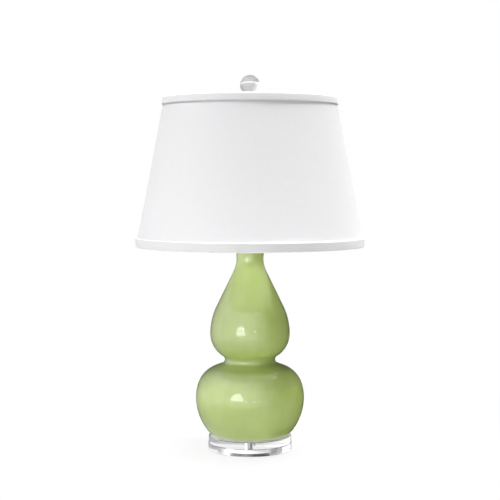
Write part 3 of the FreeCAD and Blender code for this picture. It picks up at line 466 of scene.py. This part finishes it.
NICKEL = (0.66, 0.64, 0.6)
ZINC = (0.6, 0.61, 0.63)
BRASS = (0.8, 0.6, 0.28)
FABRIC_LIGHT = (0.86, 0.86, 0.87)
FABRIC_DARK = (0.78, 0.78, 0.795)
shell_beads = [level("socket_shell", top=True) - 3 * MM, level("socket_shell", top=True) - 7 * MM,
               level("socket_shell") + 8 * MM, level("socket_cap", top=True) - 2 * MM]
finishes = {
    "green_glaze": glaze(),
    "clear_acrylic": clear_acrylic(),
    "clear_crystal": clear_crystal(),
    "clear_rubber": clear_rubber(),
    "gasket_rubber": moulded("gasket_rubber", (0.5, 0.5, 0.5), 0.7, 0.05),
    "black_plastic": moulded("black_plastic", (0.02, 0.02, 0.021), 0.42),
    "zinc_steel": metal("zinc_steel", ZINC, 0.34),
    "nickel": metal("nickel", NICKEL, 0.26),
    "brass": metal("brass", BRASS, 0.24),
    "socket_metal": relief_metal("socket_metal", NICKEL, 0.24, shell_beads, 0.9 * MM),
    "insulating_paper": pressed_fibre(),
    "porcelain": porcelain(),
    "bulb_glass": frosted_glass(),
    "shade_fabric": woven("shade_fabric", FABRIC_LIGHT, FABRIC_DARK),
    "trim_fabric": woven("trim_fabric", (0.87, 0.87, 0.875), (0.8, 0.8, 0.81)),
    "shade_styrene": styrene(),
    "white_wire": moulded("white_wire", (0.82, 0.82, 0.81), 0.3, 0.02),
}


# ---------------------------------------------------------------- making meshes
def arc(centre, start, end, leftward=True, step=3.0):
    """(radius, height) points from start to end about a centre, start and end included."""
    first, last = (math.atan2(p.y - centre.y, p.x - centre.x) for p in (start, end))
    if leftward and last < first:
        last += TURN
    if not leftward and last > first:
        last -= TURN
    count = max(2, math.ceil(abs(last - first) / math.radians(step)))
    radius = (start - centre).length
    angles = [first + (last - first) * i / count for i in range(count + 1)]
    return [centre + Vector((math.cos(a), math.sin(a))) * radius for a in angles]


def softened(points, radius, steps=4):
    """An open run of (radius, height) corners, with each sharp one rounded off."""
    points = [Vector(p) for p in points]
    run = [points[0]]
    for before, corner, after in zip(points, points[1:], points[2:]):
        into, out = before - corner, after - corner
        reach = min(radius, into.length / 2.2, out.length / 2.2)
        if abs(into.angle(out) - math.pi) < math.radians(12):
            run.append(corner)
            continue
        first, last = corner + into.normalized() * reach, corner + out.normalized() * reach
        for i in range(steps + 1):
            share = i / steps
            run.append(first.lerp(corner, share).lerp(corner.lerp(last, share), share))
    return run + [points[-1]]


def lathe(name, outline, segments=160, closed=False, crease=35.0):
    """Turns (radius, height) points in metres about Z. A point on the axis becomes a pole."""
    shape = bmesh.new()
    rings = []
    for radius, height in outline:
        if radius < 1e-7:
            rings.append([shape.verts.new((0, 0, height))] * segments)
            continue
        rings.append([shape.verts.new((radius * math.cos(TURN * i / segments),
                                       radius * math.sin(TURN * i / segments), height))
                      for i in range(segments)])
    pairs = list(zip(rings, rings[1:])) + ([(rings[-1], rings[0])] if closed else [])
    for low, high in pairs:
        for i in range(segments):
            j = (i + 1) % segments
            corners = list(dict.fromkeys((low[i], low[j], high[j], high[i])))
            if len(corners) > 2:
                shape.faces.new(corners)
    bmesh.ops.recalc_face_normals(shape, faces=shape.faces)
    return as_object(name, shape, crease)


def as_object(name, shape, crease=35.0):
    mesh = bpy.data.meshes.new(name)
    shape.to_mesh(mesh)
    shape.free()
    mesh.shade_smooth()
    mesh.set_sharp_from_angle(angle=math.radians(crease))
    made = bpy.data.objects.new(name, mesh)
    bpy.context.scene.collection.objects.link(made)
    return made


def settled(made):
    """Works an object's modifiers into its mesh and removes them."""
    graph = bpy.context.evaluated_depsgraph_get()
    mesh = bpy.data.meshes.new_from_object(made.evaluated_get(graph))
    made.modifiers.clear()
    made.data = mesh
    return made


def fitted(made, body, finish, instead_of=()):
    """Gives a piece its finish, lets it ride on its body and hides the nodes that it stands for."""
    made.data.materials.clear()
    made.data.materials.append(finishes[finish])
    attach(made, body)
    if instead_of:
        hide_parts(*instead_of)
    return made


# ---------------------------------------------------------------- gourd
def towards(start, goal, distance):
    return start + (goal - start).normalized() * distance


def between(left_centre, left_radius, right_centre, right_radius):
    """Ends of the line that leaves an arc turning left and meets one turning right, tangent to both."""
    span = right_centre - left_centre
    along = span.normalized()
    across = Vector((-along.y, along.x))
    sine = (left_radius + right_radius) / span.length
    normal = across * math.sqrt(1 - sine * sine) - along * sine
    return left_centre - normal * left_radius, right_centre + normal * right_radius


def gourd_wall(inset, floor, top, step):
    """The gourd's wall, moved inwards by inset, in millimetres above its foot, from its floor to its top."""
    under_centre = Vector((UNDER_CENTRE_RADIUS, BELLY_RISE))
    side_centre = Vector((SIDE_CENTRE_RADIUS, BELLY_RISE))
    chin_centre = Vector((CHIN_CENTRE_RADIUS, UPPER_RISE))
    flank_centre = Vector((FLANK_CENTRE_RADIUS, UPPER_RISE))
    shoulder_centre, throat_centre = Vector(SHOULDER_CENTRE), Vector(THROAT_CENTRE)
    belly = Vector((BELLY_RADIUS - inset, BELLY_RISE))
    upper_belly = Vector((UPPER_RADIUS - inset, UPPER_RISE))
    side, notch, throat = SIDE_CURVE - inset, WAIST_CURVE + inset, THROAT_CURVE + inset
    shoulder = side - (shoulder_centre - side_centre).length
    drop = math.sqrt((CHIN_CURVE + WAIST_CURVE) ** 2 - (WAIST_CENTRE_RADIUS - CHIN_CENTRE_RADIUS) ** 2)
    notch_centre = Vector((WAIST_CENTRE_RADIUS, UPPER_RISE - drop))

    under = (belly - under_centre).length
    low = Vector((under_centre.x + math.sqrt(under ** 2 - (floor - under_centre.y) ** 2), floor))
    to_shoulder = towards(side_centre, shoulder_centre, side)
    slope_low, slope_high = between(shoulder_centre, shoulder, notch_centre, notch)
    waist = towards(notch_centre, chin_centre, notch)
    neck_low, neck_high = between(flank_centre, FLANK_CURVE - inset, throat_centre, throat)
    lip = Vector((throat_centre.x - math.sqrt(throat ** 2 - (top - throat_centre.y) ** 2), top))
    return (arc(under_centre, low, belly, step=step)
            + arc(side_centre, belly, to_shoulder, step=step)[1:]
            + arc(shoulder_centre, to_shoulder, slope_low, step=step)[1:]
            + arc(notch_centre, slope_high, waist, leftward=False, step=step * 3)
            + arc(chin_centre, waist, upper_belly, step=step)[1:]
            + arc(flank_centre, upper_belly, neck_low, step=step)[1:]
            + arc(throat_centre, neck_high, lip, leftward=False, step=step))


def make_gourd():
    """One hollow casting: outer wall, rounded lip, inner wall and floor, with the cord's hole drilled."""
    foot = level("gourd_body")
    height = (level("vase_cap", top=True) - 2 * MM - foot) / MM
    outer = gourd_wall(0, 0, height, 2.0)
    inner = gourd_wall(GOURD_WALL, GOURD_FLOOR, height, 4.0)
    foot_run = softened([Vector((FLOOR_HOLE_RADIUS, 0)), outer[0], outer[4]], FOOT_ROUNDING, 6)
    lip_run = softened([outer[-2], outer[-1], inner[-1], inner[-2]], LIP_ROUNDING, 6)
    outline = foot_run + outer[5:-2] + lip_run + inner[-3::-1] + [Vector((FLOOR_HOLE_RADIUS, GOURD_FLOOR))]
    placed = [(p.x * MM, p.y * MM + foot) for p in outline]
    gourd = lathe("glazed_gourd", placed, 224, closed=True, crease=50.0)

    tilt = math.radians(OUTLET_TILT)
    under = BELLY_RADIUS - UNDER_CENTRE_RADIUS
    behind = UNDER_CENTRE_RADIUS + under * math.cos(tilt)
    surface = Vector((0, behind, BELLY_RISE - under * math.sin(tilt))) * MM + Vector((0, 0, foot))
    outward = Vector((0, math.cos(tilt), -math.sin(tilt)))
    reach = 10 * MM
    drill = lathe("drill", [(0, -reach), (OUTLET_HOLE_RADIUS * MM, -reach), (OUTLET_HOLE_RADIUS * MM, reach),
                            (0, reach)], 48)
    drill.rotation_euler = outward.to_track_quat("Z", "Y").to_euler()
    drill.location = surface
    hole = gourd.modifiers.new("hole", "BOOLEAN")
    hole.operation = "DIFFERENCE"
    hole.object = drill
    bpy.context.view_layer.update()
    settled(gourd)
    bpy.data.objects.remove(drill)
    return fitted(gourd, "stand", "green_glaze", instead_of=["gourd_body"])


# ---------------------------------------------------------------- clear base
def make_discs():
    """The two clear discs, each a hair inside its node, so that no faces coincide."""
    lower_low = level("base_disc_lower") + GLASS_GAP
    lower_high = level("base_disc_lower", top=True) - GLASS_GAP
    radius, bevel, bore = half_width("base_disc_lower"), DISC_CHAMFER, DISC_BORE
    ceiling = level("base_disc_lower") + RECESS_DEPTH + GLASS_GAP
    lower = [(radius - bevel, lower_low), (radius, lower_low + bevel), (radius, lower_high - bevel),
             (radius - bevel, lower_high), (bore, lower_high), (bore, ceiling), (RECESS_RADIUS, ceiling),
             (RECESS_RADIUS, lower_low)]
    fitted(lathe("clear_disc_lower", lower, 256, closed=True, crease=20.0), "stand", "clear_acrylic",
           instead_of=["base_disc_lower"])
    low, high = level("base_disc_upper") + GLASS_GAP, level("base_disc_upper", top=True) - GLASS_GAP
    radius = half_width("base_disc_upper")
    upper = [(radius - bevel, low), (radius, low + bevel), (radius, high - bevel), (radius - bevel, high),
             (bore, high), (bore, low)]
    fitted(lathe("clear_disc_upper", upper, 256, closed=True, crease=20.0), "stand", "clear_acrylic",
           instead_of=["base_disc_upper"])


# ---------------------------------------------------------------- screw threads
def thread_pattern():
    """A raised helix round the Z axis."""
    sizes = {"Radius": 0.01, "Pitch": 0.001, "Turns": 5.0, "Ridge": 0.0004, "Start": 0.0}
    tree = Pattern("screw_thread", sizes)
    radius, turns = tree.given("Radius"), tree.given("Turns")
    sockets = {"Resolution": 40, "Rotations": turns, "Start Radius": radius, "End Radius": radius,
               "Height": tree.given("Pitch") * turns}
    helix = tree.node("GeometryNodeCurveSpiral", sockets=sockets)
    lift = tree.joined(0.0, 0.0, tree.given("Start"))
    placed = tree.node("GeometryNodeSetPosition", sockets={"Geometry": helix, "Offset": lift})
    ridge = {"Resolution": 6, "Radius": tree.given("Ridge")}
    section = tree.node("GeometryNodeCurvePrimitiveCircle", sockets=ridge)
    swept = {"Curve": placed, "Profile Curve": section, "Fill Caps": True}
    tree.ends_with(tree.node("GeometryNodeCurveToMesh", sockets=swept))
    return tree


def make_threaded_pipe():
    """The lamp pipe, with its thread cut where the clear base and the recess show it."""
    low, high, radius = level("threaded_pipe"), level("threaded_pipe", top=True), half_width("threaded_pipe")
    root, bore, plain = radius - PIPE_RIDGE, 3.4 * MM, low + 34 * MM
    outline = [(bore, low), (root, low), (root, plain), (radius, plain + PIPE_RIDGE), (radius, high),
               (bore, high)]
    fitted(lathe("lamp_pipe", outline, 64, closed=True), "stand", "zinc_steel", instead_of=["threaded_pipe"])
    thread = screw_thread.made("pipe_thread", "zinc_steel", Radius=root, Pitch=PIPE_PITCH, Turns=35.0,
                               Ridge=PIPE_RIDGE, Start=low + PIPE_RIDGE)
    fitted(thread, "stand", "zinc_steel")


# ---------------------------------------------------------------- bulb
def make_bulb():
    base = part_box("bulb_screw_base")
    glass_low, glass_high = level("bulb_glass"), level("bulb_glass", top=True)
    ball, neck, flare = 30.0, 13.6, 60.0
    centre = Vector((0, glass_high / MM - ball))
    side = neck + flare
    flare_centre = Vector((side, centre.y - math.sqrt((ball + flare) ** 2 - side ** 2)))
    meet = towards(flare_centre, centre, flare)
    wall = (arc(flare_centre, Vector((neck, flare_centre.y)), meet, leftward=False, step=3)
            + arc(centre, meet, Vector((0, centre.y + ball)), step=3)[1:])
    outline = [(0, glass_low), (neck * MM, glass_low)] + [(p.x * MM, p.y * MM) for p in wall]
    outline[-1] = (0, glass_high)
    fitted(lathe("frosted_bulb", outline, 96), "bulb", "bulb_glass", instead_of=["bulb_glass"])

    core = base[1].x - BULB_RIDGE
    low, high = base[0].z, base[1].z
    tip_top = low + BULB_TIP_SLOPE
    can = softened([(0, low), (BULB_TIP_RADIUS, low), (core, tip_top), (core, high - BULB_COLLAR),
                    (base[1].x, high - BULB_COLLAR / 2), (base[1].x, high), (0, high)], 0.5 * MM)
    fitted(lathe("bulb_cap", can, 96), "bulb", "nickel", instead_of=["bulb_screw_base"])
    thread = screw_thread.made("bulb_thread", "nickel", Radius=core, Pitch=BULB_PITCH, Turns=3.2,
                               Ridge=BULB_RIDGE, Start=tip_top + BULB_RIDGE)
    fitted(thread, "bulb", "nickel")


# ---------------------------------------------------------------- shade
shade_low = level("shade_cover")
shade_high = level("shade_cover", top=True)
cover_low = half_width("shade_cover")


def cover_radius(height):
    return cover_low - (height - shade_low) * SHADE_SLOPE


def cloth_pattern():
    """Cloth wrapped once round a cone and lapped at the back. Its flat cut is kept as a UV map."""
    sizes = {"Low Radius": 0.2, "High Radius": 0.15, "Low": 0.0, "High": 0.3, "Lap": 0.01,
             "Lap Rise": 0.0005}
    tree = Pattern("wrapped_cloth", sizes, {"Columns": 200, "Rows": 20})
    low_radius, low, lap = tree.given("Low Radius"), tree.given("Low"), tree.given("Lap")
    rise = tree.given("High") - low
    counts = {"Size X": 1.0, "Size Y": 1.0, "Vertices X": tree.given("Columns"),
              "Vertices Y": tree.given("Rows")}
    grid = tree.node("GeometryNodeMeshGrid", sockets=counts)
    across, along, _ = tree.parts(tree.node("GeometryNodeInputPosition"))
    across, along = across + 0.5, along + 0.5

    lap_turn = lap / low_radius
    turn = across * (lap_turn + TURN)
    angle = turn + math.pi / 2 - lap_turn / 2
    radius = low_radius + (tree.given("High Radius") - low_radius) * along
    lapped = radius + tree.given("Lap Rise") * ((turn - TURN) / lap_turn).limited()
    wrapped = tree.joined(lapped * angle.cosine(), lapped * angle.sine(), low + rise * along)

    slope = (low_radius - tree.given("High Radius")) / rise
    slant = (slope * slope + 1).root()
    fan, reach = turn * slope / slant, radius / slope * slant
    flat = tree.joined(reach * fan.sine(), reach * fan.cosine(), 0.0)
    kept = tree.node("GeometryNodeStoreNamedAttribute", {"data_type": "FLOAT2", "domain": "CORNER"},
                     {"Geometry": grid, "Name": "cloth", "Value": flat})
    tree.ends_with(tree.node("GeometryNodeSetPosition", sockets={"Geometry": kept, "Position": wrapped}))
    return tree


def make_cover():
    cover = wrapped_cloth.made("shade_cloth", "shade_fabric", Low_Radius=cover_low,
                               High_Radius=cover_radius(shade_high), Low=shade_low, High=shade_high,
                               Lap=SEAM_LAP, Lap_Rise=SEAM_RISE, Columns=289, Rows=41)
    depth = cover.modifiers.new("thickness", "SOLIDIFY")
    depth.thickness = COVER_THICKNESS
    depth.offset = -1.0
    return fitted(settled(cover), "shade", "shade_fabric", instead_of=["shade_cover"])


def banded(name, outline, segments=288):
    """A folded band of cloth round the shade, from its section as (radius, height) points in metres."""
    shape = bmesh.new()
    flat = shape.loops.layers.uv.new("cloth")
    lengths = [0.0]
    for first, second in zip(outline, outline[1:]):
        lengths.append(lengths[-1] + (Vector(second) - Vector(first)).length)
    rings = []
    for i in range(segments + 1):
        angle = math.pi / 2 + TURN * i / segments
        ripple = 0.12 * MM * math.sin(angle * 9 + 1) * math.sin(angle * 4)
        across, along = math.cos(angle), math.sin(angle)
        rings.append([shape.verts.new(((radius + ripple) * across, (radius + ripple) * along, height))
                      for radius, height in outline])
    middle = outline[0][0]
    for i, (left, right) in enumerate(zip(rings, rings[1:])):
        for k in range(len(outline) - 1):
            face = shape.faces.new((left[k], right[k], right[k + 1], left[k + 1]))
            places = ((i, k), (i + 1, k), (i + 1, k + 1), (i, k + 1))
            for loop, (column, row) in zip(face.loops, places):
                loop[flat].uv = (TURN * column / segments * middle, lengths[row])
    bmesh.ops.remove_doubles(shape, verts=shape.verts, dist=1e-6)
    made = as_object(name, shape, 60.0)
    depth = made.modifiers.new("thickness", "SOLIDIFY")
    depth.thickness = TRIM_THICKNESS
    depth.offset = -1.0
    return settled(made)


def make_trims():
    """The folded bands over the shade's two edges."""
    low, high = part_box("top_trim")
    edge = high.x - TOP_TRIM_WIDTH
    top = softened([(cover_radius(low.z) + TRIM_GAP, low.z), (TOP_TRIM_LOW_RADIUS - 0.4 * MM, low.z),
                    (TOP_TRIM_LOW_RADIUS, low.z + 1 * MM), (TOP_TRIM_HIGH_RADIUS, high.z - TRIM_FOLD),
                    (TOP_TRIM_HIGH_RADIUS - TRIM_FOLD, high.z), (edge + TRIM_FOLD, high.z),
                    (edge + 0.6 * MM, high.z - 1.2 * MM)], TRIM_ROUNDING, 3)
    top_band = fitted(banded("shade_band_top", top), "shade", "trim_fabric", ["top_trim"])
    low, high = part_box("bottom_trim")
    outer, inner = high.x, high.x - BOTTOM_TRIM_WIDTH
    bottom = softened([(inner, low.z + 7 * MM), (inner, low.z + TRIM_FOLD), (inner + TRIM_FOLD, low.z),
                       (outer - TRIM_FOLD, low.z), (outer, low.z + TRIM_FOLD), (outer, high.z - 1.0 * MM),
                       (outer - 0.4 * MM, high.z), (cover_radius(high.z) + TRIM_GAP, high.z)],
                      TRIM_ROUNDING, 3)
    bottom_band = fitted(banded("shade_band_bottom", bottom), "shade", "trim_fabric",
                         ["bottom_trim"])
    return top_band, bottom_band


def make_shade():
    cover = make_cover()
    bands = make_trims()
    slant = math.hypot(1, SHADE_SLOPE)
    outer, inner = cover_low / SHADE_SLOPE * slant, cover_radius(shade_high) / SHADE_SLOPE * slant
    fan = TURN * SHADE_SLOPE / slant + SEAM_LAP / cover_low * SHADE_SLOPE / slant
    (outer ** 2 - inner ** 2) * fan / 2


# ---------------------------------------------------------------- finial
def make_finial_ball():
    low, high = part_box("finial_ball")
    radius, flat = high.x, 8.0 * MM
    centre = Vector((0, high.z - radius))
    hole, depth = 2.55 * MM, 9.05 * MM
    ball = arc(centre, Vector((flat, low.z)), Vector((0, high.z)), step=2)
    outline = [(0, low.z + depth), (hole, low.z + depth), (hole, low.z)] + [(p.x, p.y) for p in ball[:-1]]
    fitted(lathe("finial_crystal", outline + [(0, high.z)], 192, crease=30.0), "finial", "clear_crystal",
           instead_of=["finial_ball"])


# ---------------------------------------------------------------- nodes that keep their CAD shape
KEPT = {
    "clear_rubber": ["foot_pads"],
    "zinc_steel": ["bottom_washer", "bottom_nut", "switch_stem"],
    "gasket_rubber": ["foot_gasket"],
    "black_plastic": ["cord_outlet_bushing", "switch_knob"],
    "nickel": ["vase_cap", "neck_spacer", "harp_saddle", "harp_wire", "harp_sleeve_left", "harp_sleeve_right",
               "harp_stud", "shade_spider", "finial_seat"],
    "socket_metal": ["socket_cap", "socket_shell"],
    "insulating_paper": ["socket_liner"],
    "porcelain": ["socket_core"],
    "brass": ["screw_shell", "centre_contact", "terminal_screws", "bulb_tip"],
    "shade_styrene": ["shade_liner"],
    "white_wire": ["shade_top_ring", "shade_bottom_ring"],
}


def finish_kept_nodes():
    for finish, names in KEPT.items():
        for name in names:
            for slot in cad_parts[name].material_slots:
                slot.material = finishes[finish]


# ---------------------------------------------------------------- stage, lights and camera
# Strengths are shares of white.
GLOSS_LOW, GLOSS_FRONT = 0.04, 1.5
CLEAR_LOW, CLEAR_LEFT, CLEAR_BEHIND = 0.74, 0.14, 0.18
AMBIENT = 0.4
# Azimuth, elevation and strength of each bright patch of sky.
SKY_PATCHES = [(-62, 69, 30.0), (112, 66, 46.0)]
UMBRELLA_STRENGTH, SPARKLE_STRENGTH = 3.6, 15.0
SPARKLE_DISTANCE = 0.85
# Azimuth, elevation, width and height of each small lamp that makes a speck in the glaze.
SPARKLES = [(-19.5, 10, 0.035, 0.03), (-6.5, -7, 0.04, 0.03), (14, 4, 0.06, 0.022), (8, -8, 0.035, 0.03),
            (17, -8, 0.04, 0.03), (30, -9, 0.03, 0.025), (-69, 46, 0.03, 0.03), (-70, 34, 0.035, 0.03)]


def towards_light(azimuth, elevation):
    """A direction from the lamp: azimuth 0 is the camera's side and -90 the lamp's left."""
    turn, rise = math.radians(azimuth), math.radians(elevation)
    return Vector((math.sin(turn) * math.cos(rise), -math.cos(turn) * math.cos(rise), math.sin(rise)))


def near(tree, way, azimuth, elevation, edge, core):
    """1 within core degrees of a direction and 0 beyond edge degrees."""
    sockets = {0: way, 1: towards_light(azimuth, elevation)}
    share = tree.node("ShaderNodeVectorMath", {"operation": "DOT_PRODUCT"}, sockets, output="Value")
    return share.ramp(math.cos(math.radians(edge)), math.cos(math.radians(core)))


def ray_kinds(tree):
    """1 for camera, glossy and transmission rays in turn, and 0 for others."""
    rays = tree.node("ShaderNodeLightPath").socket.node.outputs
    return [Wire(tree, rays[f"Is {kind} Ray"]) for kind in ("Camera", "Glossy", "Transmission")]


def gloss_light(tree, way):
    """What the glaze mirrors: a dim room with a broad bright wall at the front left."""
    return GLOSS_LOW + near(tree, way, -48, 14, 122, 30) * GLOSS_FRONT


def clear_light(tree, way):
    """What shows through clear pieces: a pale room, lighter at the left and behind."""
    left, behind = near(tree, way, -40, 30, 100, 20), near(tree, way, 180, 0, 50, 25)
    return CLEAR_LOW + left * CLEAR_LEFT + behind * CLEAR_BEHIND


def make_stage():
    """A floor that shows white with the lamp's soft shadow and runs out into a white surround."""
    shape = bmesh.new()
    bmesh.ops.create_circle(shape, cap_ends=True, segments=96, radius=12)
    floor = as_object("studio_floor", shape)
    finish = Finish("studio_white", Roughness=0.9)
    camera, glossy, through = ray_kinds(finish)
    spot = finish.place()
    across, along, _ = finish.parts(spot)
    reach = (across * across + along * along).root()
    way = finish.joined(across / reach, along / reach, 0.0)
    far = reach.ramp(0.25, 0.9)
    # Painted shade: in reflections the floor's glow is darker near the lamp.
    glow_with_painted_shade = gloss_light(finish, way) * (1 - (0.15 / reach).ramp(0.0, 0.5) * 0.62)
    inner, outer = shade_of(0.64, 0.64, 0.64), shade_of(0.12, 0.12, 0.12)
    finish.drive("Base Color", finish.blend(reach.ramp(0.3, 1.1), inner, outer))
    strength = camera + through * 0.9 + glossy * glow_with_painted_shade
    white = finish.node("ShaderNodeEmission", sockets={"Color": shade_of(1, 1, 1), "Strength": strength})
    lit = Wire(finish, finish.shader.outputs[0])
    beneath = 1 - reach.ramp(0.05, 0.12)
    share = camera * (0.85 + far * 0.15) + through * (1 - beneath * 0.55)
    mixed = finish.node("ShaderNodeMixShader", sockets={0: share.at_least(glossy), 1: lit, 2: white})
    finish.feed(finish.nodes.nodes["Material Output"].inputs["Surface"], mixed)
    floor.data.materials.append(finish.material)


def make_surround():
    """White where the camera sees it. It lights the lamp softly, with a bright patch high on each side."""
    world = bpy.data.worlds.new("studio")
    bpy.context.scene.world = world
    world.use_nodes = True
    tree = Tree(world.node_tree)
    way = tree.node("ShaderNodeTexCoord", output="Generated")
    camera, glossy, through = ray_kinds(tree)
    light = AMBIENT
    for azimuth, elevation, strength in SKY_PATCHES:
        light = light + near(tree, way, azimuth, elevation, 13, 5) * strength
    clear = clear_light(tree, way)
    strength = light + glossy * (gloss_light(tree, way) - light) + through * (clear - light)
    sky = tree.nodes.nodes["Background"]
    sky.inputs["Color"].default_value = shade_of(1, 1, 1)
    tree.feed(sky.inputs["Strength"], strength * (1 - camera) + camera)


def soft_light(name, azimuth, elevation, distance, size, brightness, shape="ELLIPSE", aim=0.235):
    """An area light that faces the lamp's axis at the height aim. A brightness of 1 is white."""
    direction = towards_light(azimuth, elevation)
    light = bpy.data.lights.new(name, "AREA")
    light.shape = shape
    light.size, light.size_y = size
    area = size[0] * size[1] * (math.pi / 4 if shape == "ELLIPSE" else 1)
    light.energy = brightness * math.pi * area
    made = bpy.data.objects.new(name, light)
    made.location = Vector((0, 0, aim)) + direction * distance
    made.rotation_euler = (-direction).to_track_quat("-Z", "Y").to_euler()
    made.visible_camera = False
    bpy.context.scene.collection.objects.link(made)
    return light


def make_umbrella():
    """The key light, a photographer's umbrella that shows as a dome with a scalloped lower edge."""
    light = soft_light("umbrella", -26, 4.5, 1.5, (0.74, 0.52), UMBRELLA_STRENGTH, "RECTANGLE")
    light.use_nodes = True
    tree = Tree(light.node_tree)
    across, up, _ = tree.parts(tree.node("ShaderNodeNewGeometry", output="Parametric"))
    side = (across - 0.5) * 2
    scallops = (side * (math.pi * 3)).cosine().size() * 0.14
    dome = (side * side + up * up).root()
    shape = (dome < 1.0) * (up > 0.2 - scallops)
    ribs = 0.9 + (side * (math.pi * 3)).sine().size() * 0.1
    tree.feed(light.node_tree.nodes["Emission"].inputs["Strength"], shape * ribs)


def make_lights():
    make_surround()
    make_umbrella()
    for index, (azimuth, elevation, width, height) in enumerate(SPARKLES, 1):
        soft_light(f"sparkle_{index}", azimuth, elevation, SPARKLE_DISTANCE, (width, height),
                   SPARKLE_STRENGTH)


def make_camera():
    camera = bpy.data.cameras.new("camera")
    camera.lens = LENS
    camera.sensor_width = SENSOR
    made = bpy.data.objects.new("camera", camera)
    made.location = CAMERA_PLACE
    made.rotation_euler = (math.radians(90 - CAMERA_PITCH), 0, 0)
    bpy.context.scene.collection.objects.link(made)
    bpy.context.scene.camera = made


# ---------------------------------------------------------------- the lamp
screw_thread = thread_pattern()
wrapped_cloth = cloth_pattern()
make_gourd()
make_discs()
make_threaded_pipe()
make_bulb()
make_shade()
make_finial_ball()
finish_kept_nodes()
make_stage()
make_lights()
make_camera()
bpy.context.scene.view_settings.view_transform = "Standard"
